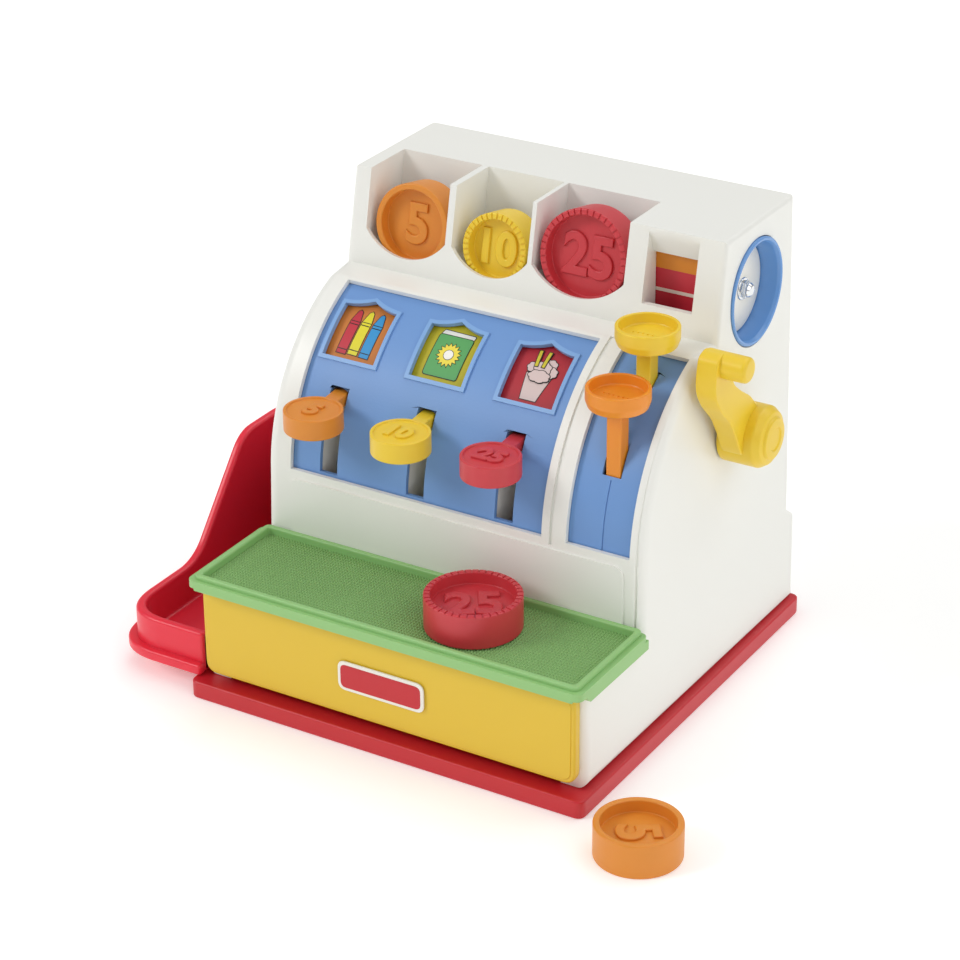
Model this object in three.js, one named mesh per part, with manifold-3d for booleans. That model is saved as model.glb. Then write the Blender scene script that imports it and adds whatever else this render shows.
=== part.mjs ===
// A toy cash register: coin pockets on top, picture keys and two function keys on a curved front, a crank
// and a bell on the right, a spring drawer under a green counter, and a coin tray on the left.
// Millimetres. Origin at the centre of the base's underside, +X right, +Y back, +Z up.
import * as THREE from "three";
import { mergeVertices } from "three/addons/utils/BufferGeometryUtils.js";
import Module from "manifold-3d";

const wasm = await Module();
wasm.setup();

// ---------- driving dimensions ----------
const GAP = 0.3; // clearance between pieces that touch
const WALL = 2.6; // moulded wall of the housing

const BASE = { width: 230, depth: 239, height: 9.8, floor: 3.2, corner: 4, ledge: 19.5 };

// The housing's side section, as places along Y and heights, and its half width at the foot and the top.
const HOUSING = {
  footHalf: 111.2,
  topHalf: 107,
  frontY: -108,
  deckZ: 65.6,
  apronY: -53,
  ledgeZ: 191.5,
  boxFrontY: 24,
  boxTopFrontY: 34,
  topZ: 241.3,
  backTopY: 107.8,
  backY: 109.3,
  stepTopZ: 64.5,
  stepY: 117.2,
  stepZ: 58.9,
};

// The curved front turns about the key shaft.
const DRUM = { y: 43, z: 102.5, radius: 96, lowAngle: 2.7, highAngle: 66.5 };
const PANEL = { outer: 93.1, thick: 2.3, lowAngle: -0.5, highAngle: 68 };
const KEY_PANEL_X = [-93.7, 54];
const LEVER_PANEL_X = [67.6, 102.8];
const PANEL_MARGIN = 3;

const KEY_XS = [-72.4, -20.8, 30.8];
const KEY = {
  angle: 29.5,
  width: 8.3,
  capRadius: 15.2,
  capHeight: 11,
  capY: -61.5,
  capTopZ: 149.4,
  tabTopZ: 148.4,
  tabThick: 5,
  slotWidth: 10.5,
};
const KEY_SLOT = { lowAngle: 3.6, highAngle: 31.6 };
const WINDOW_XS = [-73, -21.4, 30.3];
const WINDOW = { halfWidth: 15.3, border: 2.1, lowAngle: 40.3, sideAngle: 58.8, peakAngle: 61.4 };

const PLUNGER_X = 86.5;
const PLUNGER = { size: 8, footZ: 118, capRadius: 16, capHeight: 10.5 };
const PLUNGERS = { total: { y: -36.3, topZ: 188.8 }, sale: { y: -7.5, topZ: 209.7 } };

// Each pocket: its centre, half width, and the radius of the coin that it holds.
const POCKETS = [
  { value: "5", x: -73.3, half: 23.8, coin: 21.6, coinX: -72.2 },
  { value: "10", x: -23.4, half: 22.3, coin: 18.6, coinX: -22.6 },
  { value: "25", x: 27.6, half: 26.3, coin: 24.5, coinX: 28 },
];
const POCKET = { lip: 7.3, floor: 2.9, depth: 31, sagitta: 12 };
const COIN = { thick: 18, rim: 3.4, recess: 6.5 };

const SIGN_WINDOW = { x: [64.7, 92.5], lowZ: 203.5, highZ: 227, rampTopZ: 239.2, backY: 38.5 };
// The price sign is a flap just behind its window, on a pin along its foot.
const SIGN_FLAP = { x: [62.9, 93.8], y: [41.6, 43.4], topZ: 228, pinY: 45, pinZ: 192, hub: 3.2, pin: 1.6 };

const BELL = { y: 66.5, z: 204.2, hole: 28.3, dome: 23, rimX: 97.4, depth: 1.8, thick: 1, post: 2 };
const CRANK = { y: 38, z: 141.5, hub: 16, pegY: 0.3, pegZ: 194, peg: 6.7, shaft: 3 };
const PLATE_X = [59.5, 62];
const CAM_X = [66, 73];

const DRAWER = { half: 93, frontY: -108.2, backY: 90, lowZ: 13, highZ: 56, wall: 2 };
const DRAWER_FRONT = { half: 108, y: [-114.5, -108.5], z: [14.3, 64.3] };
const COUNTER = { x: 1.4, flange: 113.3, rim: 110.4, y: [-121.4, -53.6], z: 65.9, lipZ: 64.7, skirtZ: 62 };
const TRAY = { left: -165, front: -110.6, back: 50, right: -111.9, wall: 5, frontZ: 33, hoodZ: 89.5 };
const CHUTE = { x: [-107, 54], lowZ: 60, slope: 0.15 };
const EXIT = { y: [-7, 50], z: [61, 84] };
const SCREW_POINTS = [
  ["front_left", -101.5, -97.5],
  ["front_right", 101.5, -97.5],
  ["rear_left", -101.5, 104],
  ["rear_right", 101.5, 104],
];

// ---------- solids ----------
function solidOf(geometry) {
  const bare = geometry.index ? geometry.toNonIndexed() : geometry.clone();
  bare.deleteAttribute("normal");
  bare.deleteAttribute("uv");
  const merged = mergeVertices(bare, 1e-4);
  return new wasm.Manifold(
    new wasm.Mesh({
      numProp: 3,
      vertProperties: merged.attributes.position.array,
      triVerts: new Uint32Array(merged.index.array),
    }),
  );
}

function geometryOf(solid) {
  const mesh = solid.getMesh();
  const geometry = new THREE.BufferGeometry();
  const positions = new Float32Array(mesh.numVert * 3);
  for (let i = 0; i < mesh.numVert; i++) {
    positions.set(mesh.vertProperties.subarray(i * mesh.numProp, i * mesh.numProp + 3), i * 3);
  }
  geometry.setAttribute("position", new THREE.BufferAttribute(positions, 3));
  geometry.setIndex(new THREE.BufferAttribute(mesh.triVerts, 1));
  geometry.computeVertexNormals();
  return geometry;
}

const asSolid = (piece) => (piece.isBufferGeometry ? solidOf(piece) : piece);
const join = (...pieces) => pieces.map(asSolid).reduce((a, b) => a.add(b));
const cut = (body, ...tools) => tools.map(asSolid).reduce((a, b) => a.subtract(b), asSolid(body));
const common = (a, b) => asSolid(a).intersect(asSolid(b));

// ---------- primitive geometries ----------
function box([x0, x1], [y0, y1], [z0, z1]) {
  return new THREE.BoxGeometry(x1 - x0, y1 - y0, z1 - z0).translate(
    (x0 + x1) / 2,
    (y0 + y1) / 2,
    (z0 + z1) / 2,
  );
}

function extrude(outline, depth) {
  const shape = Array.isArray(outline)
    ? new THREE.Shape(outline.map(([a, b]) => new THREE.Vector2(a, b)))
    : outline;
  return new THREE.ExtrudeGeometry(shape, { depth, bevelEnabled: false, curveSegments: 5 });
}

function placed(geometry, xAxis, yAxis, zAxis) {
  return geometry.applyMatrix4(new THREE.Matrix4().makeBasis(xAxis, yAxis, zAxis));
}

const X = new THREE.Vector3(1, 0, 0);
const Y = new THREE.Vector3(0, 1, 0);
const Z = new THREE.Vector3(0, 0, 1);

// A (y, z) outline pushed along X, an (x, z) outline along Y, and an (x, y) outline along Z.
const alongX = (outline, [x0, x1]) => placed(extrude(outline, x1 - x0), Y, Z, X).translate(x0, 0, 0);
const alongY = (outline, [y0, y1]) =>
  placed(extrude(outline, y1 - y0), X, Z, Y.clone().negate()).translate(0, y1, 0);
const alongZ = (outline, [z0, z1]) => extrude(outline, z1 - z0).translate(0, 0, z0);

function rodX(radius, [x0, x1], y, z, sides = 24) {
  return new THREE.CylinderGeometry(radius, radius, x1 - x0, sides)
    .rotateZ(-Math.PI / 2)
    .translate((x0 + x1) / 2, y, z);
}

function rodZ(radius, [z0, z1], x, y, sides = 24) {
  return new THREE.CylinderGeometry(radius, radius, z1 - z0, sides)
    .rotateX(Math.PI / 2)
    .translate(x, y, (z0 + z1) / 2);
}

// A (radius, height) profile turned about Z. It is walked anticlockwise, so that the faces point out.
function turned(profile, sides = 32) {
  const points = profile.map(([r, h]) => new THREE.Vector2(r, h));
  if (THREE.ShapeUtils.isClockWise(points)) {
    points.reverse();
  }
  return new THREE.LatheGeometry(points, sides).rotateX(Math.PI / 2);
}

function roundedRect([x0, x1], [y0, y1], radius) {
  const shape = new THREE.Shape();
  shape.moveTo(x0 + radius, y0);
  shape.lineTo(x1 - radius, y0);
  shape.absarc(x1 - radius, y0 + radius, radius, -Math.PI / 2, 0, false);
  shape.lineTo(x1, y1 - radius);
  shape.absarc(x1 - radius, y1 - radius, radius, 0, Math.PI / 2, false);
  shape.lineTo(x0 + radius, y1);
  shape.absarc(x0 + radius, y1 - radius, radius, Math.PI / 2, Math.PI, false);
  shape.lineTo(x0, y0 + radius);
  shape.absarc(x0 + radius, y0 + radius, radius, Math.PI, (3 * Math.PI) / 2, false);
  return shape;
}

// A point at a radius from the key shaft, at an angle above the forward horizontal.
const drumPoint = (radius, degrees) => {
  const a = THREE.MathUtils.degToRad(degrees);
  return [DRUM.y - radius * Math.cos(a), DRUM.z + radius * Math.sin(a)];
};

function drumArc(radius, from, to, steps) {
  return Array.from({ length: steps + 1 }, (_, i) => drumPoint(radius, from + ((to - from) * i) / steps));
}

// A curved strip about the key shaft, from one angle to another.
function drumStrip(inner, outer, from, to, xs, steps = 14) {
  return alongX([...drumArc(outer, from, to, steps), ...drumArc(inner, to, from, steps)], xs);
}

function coil(radius, wire, turns, length) {
  class Helix extends THREE.Curve {
    getPoint(t, target = new THREE.Vector3()) {
      const a = 2 * Math.PI * turns * t;
      return target.set(radius * Math.cos(a), radius * Math.sin(a), length * t);
    }
  }
  const sides = 5;
  const section = Array.from({ length: sides }, (_, i) => {
    const a = (2 * Math.PI * i) / sides;
    return new THREE.Vector2(wire * Math.cos(a), wire * Math.sin(a));
  });
  return new THREE.ExtrudeGeometry(new THREE.Shape(section), {
    steps: turns * 8,
    extrudePath: new Helix(),
    bevelEnabled: false,
  });
}

// ---------- housing ----------
// The side walls lean in by the same amount for each millimetre of height.
const DRAFT = (1 - HOUSING.topHalf / HOUSING.footHalf) / (HOUSING.topZ - BASE.height);

function tapered(geometry) {
  const position = geometry.attributes.position;
  for (let i = 0; i < position.count; i++) {
    position.setX(i, position.getX(i) * (1 - DRAFT * (position.getZ(i) - BASE.height)));
  }
  return geometry;
}

const halfWidthAt = (z) => HOUSING.footHalf * (1 - DRAFT * (z - BASE.height));

function housingSection(inset, footZ) {
  const h = HOUSING;
  const radius = DRUM.radius - inset;
  const ledge = h.ledgeZ - inset;
  const topAngle = THREE.MathUtils.radToDeg(Math.asin((ledge - DRUM.z) / radius));
  return [
    [h.frontY + inset, footZ],
    [h.frontY + inset, h.deckZ - inset],
    [h.apronY + inset, h.deckZ - inset],
    ...drumArc(radius, 0, topAngle, 16),
    [h.boxFrontY + inset, ledge],
    [h.boxTopFrontY + inset, h.topZ - inset],
    [h.backTopY - inset, h.topZ - inset],
    [h.backY - inset, h.stepTopZ],
    [h.stepY - inset, h.stepZ],
    [h.stepY - inset, footZ],
  ];
}

// The box front leans back; pockets and coins are laid out square to it and then tipped with it.
const LEAN = Math.atan2(HOUSING.boxTopFrontY - HOUSING.boxFrontY, HOUSING.topZ - HOUSING.ledgeZ);
const tipped = (geometry) =>
  geometry.rotateX(-LEAN).translate(0, HOUSING.boxFrontY, HOUSING.ledgeZ);

function pocketOutline(pocket, floor, grow) {
  const half = pocket.half + grow;
  const radius = (pocket.half ** 2 + POCKET.sagitta ** 2) / (2 * POCKET.sagitta) + grow;
  const reach = Math.asin(half / radius);
  const centre = floor - grow + radius;
  const steps = 8;
  const points = Array.from({ length: steps + 1 }, (_, i) => {
    const a = -reach + (2 * reach * i) / steps;
    return [pocket.x + radius * Math.sin(a), centre - radius * Math.cos(a)];
  });
  return [...points, [pocket.x + half, 56], [pocket.x - half, 56]];
}

function housing() {
  const half = HOUSING.footHalf;
  const outer = tapered(alongX(housingSection(0, BASE.height + GAP), [-half, half]));
  const inner = tapered(alongX(housingSection(WALL, 0), [-half + WALL, half - WALL]));
  const pocketWalls = POCKETS.map((p) =>
    tipped(alongY(pocketOutline(p, POCKET.floor, WALL), [-1, POCKET.depth + WALL])),
  );
  const w = SIGN_WINDOW;
  const signWall = box(
    [w.x[0] - WALL, w.x[1] + WALL],
    [HOUSING.boxFrontY, w.backY + WALL],
    [HOUSING.ledgeZ - WALL, HOUSING.topZ],
  );
  const signWell = box(w.x, [HOUSING.boxFrontY + 5.5, w.backY + 4], [HOUSING.ledgeZ - WALL - 1, w.lowZ + 1]);
  const hollow = cut(inner, ...pocketWalls, signWall);

  const pocketCavities = POCKETS.map((p) =>
    tipped(alongY(pocketOutline(p, POCKET.floor, 0), [WALL, POCKET.depth])),
  );
  const pocketMouths = POCKETS.map((p) => tipped(alongY(pocketOutline(p, POCKET.lip, 0), [-2, WALL + 1])));
  const signOpening = box(w.x, [HOUSING.boxFrontY, w.backY + 4], [w.lowZ, w.highZ]);
  const signRamp = alongX(
    [
      [HOUSING.boxFrontY, w.highZ - 1],
      [w.backY, w.highZ - 1],
      [w.backY, w.highZ],
      [HOUSING.boxTopFrontY - 0.5, w.rampTopZ],
      [HOUSING.boxFrontY, w.rampTopZ],
    ],
    w.x,
  );
  const keyOpening = drumStrip(80, 100, DRUM.lowAngle, DRUM.highAngle, KEY_PANEL_X);
  const leverOpening = drumStrip(80, 100, DRUM.lowAngle, DRUM.highAngle, LEVER_PANEL_X);
  const bosses = SCREW_POINTS.map(([, x, y]) => rodZ(5, [BASE.height + GAP, 40], x, y, 16));
  const webs = SCREW_POINTS.map(([, x, y]) => {
    const xs = x < 0 ? [-109.5, x] : [x, 109.5];
    return box(xs, [y - 1.5, y + 1.5], [BASE.height + GAP, 40]);
  });
  const bossHoles = SCREW_POINTS.map(([, x, y]) => rodZ(2.1, [0, 34], x, y, 12));
  const sockets = [-1, 1].map((side) =>
    rodX(7, side < 0 ? [-108, -101] : [101, 108], DRUM.y, DRUM.z, 20),
  );
  const socketBore = rodX(3.4, [-105.5, 105.5], DRUM.y, DRUM.z, 16);

  return cut(
    join(cut(outer, hollow), ...bosses, ...webs, ...sockets),
    ...pocketCavities,
    ...pocketMouths,
    signOpening,
    signWell,
    signRamp,
    keyOpening,
    leverOpening,
    ...bossHoles,
    socketBore,
    box([-97, 97], [HOUSING.frontY - 2, HOUSING.frontY + 5], [0, 62.5]),
    box([-120, -103], EXIT.y, EXIT.z),
    rodX(BELL.hole, [98, 115], BELL.y, BELL.z, 36),
    rodX(6.6, [98, 115], CRANK.y, CRANK.z, 20),
  );
}

// ---------- base and tray ----------
function base() {
  const w = BASE.width / 2;
  const d = BASE.depth / 2;
  const plate = alongZ(roundedRect([-w, w], [-d, d], BASE.corner), [0, BASE.height]);
  const well = box([-w + BASE.ledge, w - BASE.ledge], [-d + 15, d - 10], [BASE.floor, BASE.height + 1]);
  const rails = [-80, 80].map((x) => box([x - 2, x + 2], [-d + 14, d - 12], [BASE.floor - 1, DRAWER.lowZ - GAP]));
  const bores = SCREW_POINTS.flatMap(([, x, y]) => [
    rodZ(2.2, [-1, BASE.height + 1], x, y, 12),
    rodZ(4.3, [-1, 3.5], x, y, 16),
  ]);
  return cut(join(cut(plate, well), ...rails), ...bores);
}

function caseScrew(x, y) {
  return turned(
    [
      [0, 1],
      [3.9, 1],
      [3.9, 3.1],
      [1.8, 3.3],
      [1.8, 28],
      [0, 30],
    ],
    12,
  ).translate(x, y, 0);
}

function trayOutline(grow) {
  const t = TRAY;
  const left = t.left - grow;
  const front = t.front - grow;
  const back = t.back + grow;
  const frontRadius = 30 + grow;
  const backRadius = 24 + grow;
  const shape = new THREE.Shape();
  shape.moveTo(t.right, front);
  shape.lineTo(t.right, back);
  shape.lineTo(left + backRadius, back);
  shape.absarc(left + backRadius, back - backRadius, backRadius, Math.PI / 2, Math.PI, false);
  shape.lineTo(left, front + frontRadius);
  shape.absarc(left + frontRadius, front + frontRadius, frontRadius, Math.PI, (3 * Math.PI) / 2, false);
  return shape;
}

// The tray's rim climbs from the low front to the hood, with a hollow at its foot and a shoulder at its head.
const TRAY_RAMP = [
  [-60, TRAY.frontZ],
  [-52, TRAY.frontZ + 1.2],
  [-45, TRAY.frontZ + 5],
  [-39.5, TRAY.frontZ + 10],
  [-5.5, TRAY.hoodZ - 9],
  [-1, TRAY.hoodZ - 4.2],
  [6, TRAY.hoodZ - 1],
  [16, TRAY.hoodZ],
];

function coinTray() {
  const t = TRAY;
  const low = BASE.height + GAP;
  const body = alongZ(trayOutline(0), [low, t.hoodZ]);
  const flange = alongZ(trayOutline(4), [low, 16]);
  const inside = join(
    alongZ(trayOutline(-t.wall), [low + 2.8, t.hoodZ + 1]),
    box([t.right - 10, t.right + 5], [t.front + t.wall, t.back - t.wall], [low + 2.8, t.hoodZ + 1]),
  );
  const aboveRim = alongX([[-130, t.frontZ], ...TRAY_RAMP, [16, t.hoodZ + 5], [-130, t.hoodZ + 5]], [-180, -100]);
  return cut(join(body, flange), inside, aboveRim);
}

// ---------- counter and drawer ----------
function counterTop() {
  const c = COUNTER;
  const half = (z) => halfWidthAt(z) + GAP;
  const flange = roundedRect([c.x - c.flange, c.x + c.flange], c.y, 4);
  const rim = roundedRect([c.x - c.rim, c.x + c.rim], [c.y[0] + 2.3, c.y[1] - 0.3], 3);
  const mat = roundedRect([c.x - c.rim + 3, c.x + c.rim - 3], [c.y[0] + 5.3, c.y[1] - 3.3], 1.5);
  const lipX = [c.x - c.flange + 4, c.x + c.flange - 4];
  const frontLip = box(lipX, [c.y[0], DRAWER_FRONT.y[0] - 0.5], [c.lipZ, c.z + 1]);
  const skirtSide = [
    [c.y[1], c.skirtZ],
    [c.y[1], c.z + 1],
    [-116, c.z + 1],
    [-110, c.skirtZ],
  ];
  const skirts = [
    [c.x - c.flange, -half(c.skirtZ)],
    [half(c.skirtZ), c.x + c.flange],
  ].map((xs) => alongX(skirtSide, xs));
  return cut(
    join(alongZ(flange, [c.z, c.z + 4]), alongZ(rim, [c.z + 3, c.z + 6.4]), frontLip, ...skirts),
    alongZ(mat, [c.z + 2.5, c.z + 8]),
  );
}

function drawerBox() {
  const d = DRAWER;
  const w = d.wall;
  const shell = box([-d.half, d.half], [d.frontY, d.backY], [d.lowZ, d.highZ]);
  const bins = [
    [[-d.half + w, -w / 2], [d.frontY + w, -41]],
    [[w / 2, d.half - w], [d.frontY + w, -41]],
    [[-d.half + w, d.half - w], [-41 + w, d.backY - w]],
  ].map(([xs, ys]) => box(xs, ys, [d.lowZ + w, d.highZ + 1]));
  return cut(shell, ...bins);
}

function drawerFront() {
  const f = DRAWER_FRONT;
  return alongY(roundedRect([-f.half, f.half], f.z, 7), f.y);
}

function drawerBadge() {
  const y = DRAWER_FRONT.y[0] - GAP;
  return alongY(roundedRect([-25.5, 24.5], [29.8, 46.2], 5), [y - 1.2, y]);
}

// ---------- curved front ----------
// A window's outline pushed out from the key shaft: straight sides under a peaked head.
function windowPrism(x, grow, fromRadius, toRadius) {
  const w = WINDOW;
  const mid = THREE.MathUtils.degToRad((w.lowAngle + w.peakAngle) / 2);
  const rise = (degrees) => PANEL.outer * Math.sin(THREE.MathUtils.degToRad(degrees) - mid);
  const half = w.halfWidth + grow;
  const foot = rise(w.lowAngle) - grow;
  const shoulder = rise(w.sideAngle) + grow;
  const peak = rise(w.peakAngle) + grow;
  const dip = shoulder + (peak - shoulder) * 0.25;
  const outline = [
    [-half, foot],
    [half, foot],
    [half, shoulder],
    [half / 2, dip],
    [0, peak],
    [-half / 2, dip],
    [-half, shoulder],
  ];
  const upward = new THREE.Vector3(0, Math.sin(mid), Math.cos(mid));
  const outward = new THREE.Vector3(0, -Math.cos(mid), Math.sin(mid));
  return placed(extrude(outline, toRadius - fromRadius), X, upward, outward).translate(
    x,
    DRUM.y + fromRadius * outward.y,
    DRUM.z + fromRadius * outward.z,
  );
}

function keyPanel() {
  const inner = PANEL.outer - PANEL.thick;
  const panel = drumStrip(inner, PANEL.outer, PANEL.lowAngle, PANEL.highAngle, [
    KEY_PANEL_X[0] - PANEL_MARGIN,
    KEY_PANEL_X[1] + PANEL_MARGIN,
  ]);
  const slots = KEY_XS.map((x) =>
    drumStrip(80, 100, KEY_SLOT.lowAngle, KEY_SLOT.highAngle, [x - KEY.slotWidth / 2, x + KEY.slotWidth / 2], 6),
  );
  const band = drumStrip(inner + 1, PANEL.outer + 1, WINDOW.lowAngle - 4, WINDOW.peakAngle + 4, [
    KEY_PANEL_X[0],
    KEY_PANEL_X[1],
  ]);
  const borders = WINDOW_XS.map((x) => common(windowPrism(x, WINDOW.border, 80, 100), band));
  const windows = WINDOW_XS.map((x) => windowPrism(x, 0, 80, 100));
  return cut(join(panel, ...borders), ...windows, ...slots);
}

function leverPanel() {
  const inner = PANEL.outer - PANEL.thick;
  const panel = drumStrip(inner, PANEL.outer, PANEL.lowAngle, PANEL.highAngle, [
    LEVER_PANEL_X[0] - PANEL_MARGIN + 0.4,
    LEVER_PANEL_X[1] + PANEL_MARGIN - 0.4,
  ]);
  const slots = Object.values(PLUNGERS).map(({ y }) =>
    box([PLUNGER_X - 5.6, PLUNGER_X + 4.7], [y - 4.6, y + 4.6], [120, 200]),
  );
  return cut(panel, ...slots);
}

const pictureCard = (x) => drumStrip(88.4, 90.4, 37, 65.5, [x - 19.5, x + 19.5], 8);

// ---------- keys ----------
function keyCap(radius, height) {
  return turned(
    [
      [0, 0],
      [radius - 0.8, 0],
      [radius, 0.8],
      [radius, height],
      [radius - 1.6, height],
      [radius - 1.6, height - 1],
      [0, height - 1],
    ],
    28,
  );
}

function functionCap(radius, height) {
  return turned(
    [
      [0, 0],
      [radius - 0.8, 0],
      [radius, 0.8],
      [radius, height],
      [radius - 2.2, height],
      [radius - 3, height - 4.5],
      [0, height - 4.5],
    ],
    28,
  );
}

function coinKey(x) {
  const halfWidth = KEY.width / 2;
  const xs = [x - halfWidth, x + halfWidth];
  const tip = drumPoint(88, KEY.angle);
  const armHalf = 4;
  const a = THREE.MathUtils.degToRad(KEY.angle);
  const side = [armHalf * Math.sin(a), armHalf * Math.cos(a)];
  const arm = alongX(
    [
      [DRUM.y - side[0], DRUM.z - side[1]],
      [DRUM.y + side[0], DRUM.z + side[1]],
      [tip[0] + side[0], tip[1] + side[1]],
      [KEY.capY, KEY.tabTopZ],
      [KEY.capY, KEY.tabTopZ - KEY.tabThick],
      [tip[0] - side[0], tip[1] - side[1]],
    ],
    xs,
  );
  const cap = keyCap(KEY.capRadius, KEY.capHeight).translate(x, KEY.capY, KEY.capTopZ - KEY.capHeight);
  const hub = rodX(7.5, xs, DRUM.y, DRUM.z);
  return cut(join(hub, arm, cap), rodX(3.4, [x - 6, x + 6], DRUM.y, DRUM.z, 20));
}

function plunger({ y, topZ }) {
  const half = PLUNGER.size / 2;
  const capFoot = topZ - PLUNGER.capHeight;
  return join(
    functionCap(PLUNGER.capRadius, PLUNGER.capHeight).translate(PLUNGER_X, y, capFoot),
    box([PLUNGER_X - half, PLUNGER_X + half], [y - half, y + half], [PLUNGER.footZ, capFoot + 1]),
  );
}

// A bracket on the web plate: a shelf with two square holes that guide the function keys, and a lower shelf.
function keyGuide() {
  const xs = [PLATE_X[1] + GAP, 95];
  const hole = 4 + GAP;
  const ys = [-43.5, 1];
  return cut(
    join(box(xs, ys, [121.5, 125.5]), box(xs, ys, [96, 99]), box([xs[0], xs[0] + 3], ys, [97, 124])),
    ...Object.values(PLUNGERS).map(({ y }) =>
      box([PLUNGER_X - hole, PLUNGER_X + hole], [y - hole, y + hole], [120, 127]),
    ),
  );
}

// Pairs of walls behind the key panel, one pair beside each slot, joined by a bar under the keys.
function keyWalls() {
  const wall = drumStrip(60, 89.5, -2, 35, [0, 2], 8);
  const off = KEY.slotWidth / 2 + 0.6;
  const places = KEY_XS.flatMap((x) => [x - off - 2, x + off]);
  const walls = places.map((x) => wall.clone().translate(x, 0, 0));
  return join(drumStrip(62, 66, -2, 2, [-81, PLATE_X[0] - GAP], 2), ...walls);
}

const plungerSpring = (y) => coil(3.1, 0.7, 5, 16.6).translate(PLUNGER_X, y, 100.2);
const keySpring = (x) =>
  coil(5.4, 0.7, 3, 7)
    .rotateY(Math.PI / 2)
    .translate(x + KEY.width / 2 + 1.6, DRUM.y, DRUM.z);

// ---------- inside ----------
function mechanismPlate() {
  const inset = 4.4;
  const section = [
    [-48.4, 59],
    ...drumArc(91.4, 0, 66, 12),
    [28, 186.8],
    [HOUSING.boxTopFrontY + inset, HOUSING.topZ - inset],
    [HOUSING.backTopY - inset, HOUSING.topZ - inset],
    [HOUSING.backY - inset, HOUSING.stepTopZ],
    [HOUSING.backY - inset, 59],
  ];
  return cut(
    alongX(section, PLATE_X),
    rodX(3.4, [58, 64], DRUM.y, DRUM.z, 16),
    rodX(3.4, [58, 64], CRANK.y, CRANK.z, 16),
    rodX(16, [58, 64], 82, 130, 24),
  );
}

function coinChute() {
  const c = CHUTE;
  const thick = 2;
  const channel = alongX(
    [
      [EXIT.y[0] + 1, c.lowZ],
      [58.8, c.lowZ],
      [104, c.lowZ + 38],
      [104, c.lowZ + 40.6],
      [58, c.lowZ + thick],
      [EXIT.y[0] + 3, c.lowZ + thick],
      [EXIT.y[0] + 3, c.lowZ + 12],
      [EXIT.y[0] + 1, c.lowZ + 12],
    ],
    c.x,
  );
  const position = channel.attributes.position;
  for (let i = 0; i < position.count; i++) {
    position.setZ(i, position.getZ(i) + c.slope * (position.getX(i) - c.x[0]));
  }
  return channel;
}

function drawerLatch() {
  const arm = alongX(
    [
      [24, 70.5],
      [84, 68],
      [84, 57.6],
      [87.4, 57.6],
      [88.6, 72],
      [26, 79.5],
      [14, 100],
      [10, 99],
      [14, 76],
    ],
    CAM_X,
  );
  const bore = rodX(2.3, [60, 80], 20, 75, 16);
  return cut(join(arm, rodX(6, CAM_X, 20, 75)), bore);
}

function bellCam() {
  const lobes = 3;
  const steps = 24;
  const outline = Array.from({ length: steps }, (_, i) => {
    const a = (2 * Math.PI * i) / steps;
    const r = 9.5 + 3.5 * Math.cos(lobes * a);
    return [CRANK.y + r * Math.cos(a), CRANK.z + r * Math.sin(a)];
  });
  return cut(alongX(outline, CAM_X), rodX(CRANK.shaft + 0.3, [60, 80], CRANK.y, CRANK.z, 16));
}

function bellStriker() {
  const pivotZ = 163;
  const arm = alongX(
    [
      [BELL.y - 2.5, pivotZ],
      [BELL.y + 2.5, pivotZ],
      [BELL.y + 2, 192.5],
      [BELL.y - 2, 192.5],
    ],
    [84, 88],
  );
  const tail = alongX(
    [
      [BELL.y - 2, pivotZ + 3],
      [56, 151.5],
      [58, 149],
      [BELL.y + 2, pivotZ - 3],
    ],
    CAM_X,
  );
  const hammer = rodX(3, [86, BELL.rimX + 0.7], BELL.y, 190, 16);
  const hub = rodX(5, [CAM_X[0], 88], BELL.y, pivotZ, 20);
  return cut(join(hub, arm, tail, hammer), rodX(2.1, [60, 92], BELL.y, pivotZ, 16));
}

function bellRing() {
  const profile = [
    [23.7, 95.4],
    [27.9, 95.4],
    [27.9, 108.2],
    [26.2, 108.8],
    [25.2, 107.6],
    [23.7, 96.5],
  ];
  profile.push(profile[0]);
  return turned(profile, 36).rotateY(Math.PI / 2).translate(0, BELL.y, BELL.z);
}

function bellDome() {
  const bulge = (r) => BELL.rimX + BELL.depth * (1 - (r / BELL.dome) ** 2.6);
  const rings = [2.4, 9, 15, 19, BELL.dome];
  const outside = rings.map((r) => [r, bulge(r) + BELL.thick]);
  const inside = rings.map((r) => [r, bulge(r)]).reverse();
  return turned([...outside, ...inside, outside[0]], 32)
    .rotateY(Math.PI / 2)
    .translate(0, BELL.y, BELL.z);
}

const BELL_APEX = BELL.rimX + BELL.depth + BELL.thick;

function bellNut() {
  const x = BELL_APEX + GAP;
  const flats = new THREE.CylinderGeometry(4.2, 4.2, 2.4, 6).rotateZ(-Math.PI / 2).translate(x + 1.2, 0, 0);
  const crown = turned(
    [
      [0, x + 2],
      [3.4, x + 2],
      [3.2, x + 3.4],
      [2, x + 4.8],
      [0, x + 5.4],
    ],
    16,
  ).rotateY(Math.PI / 2);
  return join(flats, crown).translate([0, BELL.y, BELL.z]);
}

function signFlap() {
  const f = SIGN_FLAP;
  return cut(
    join(box(f.x, f.y, [f.pinZ, f.topZ]), rodX(f.hub, f.x, f.pinY, f.pinZ, 20)),
    rodX(f.pin + GAP, [60, 97], f.pinY, f.pinZ, 12),
  );
}

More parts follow.
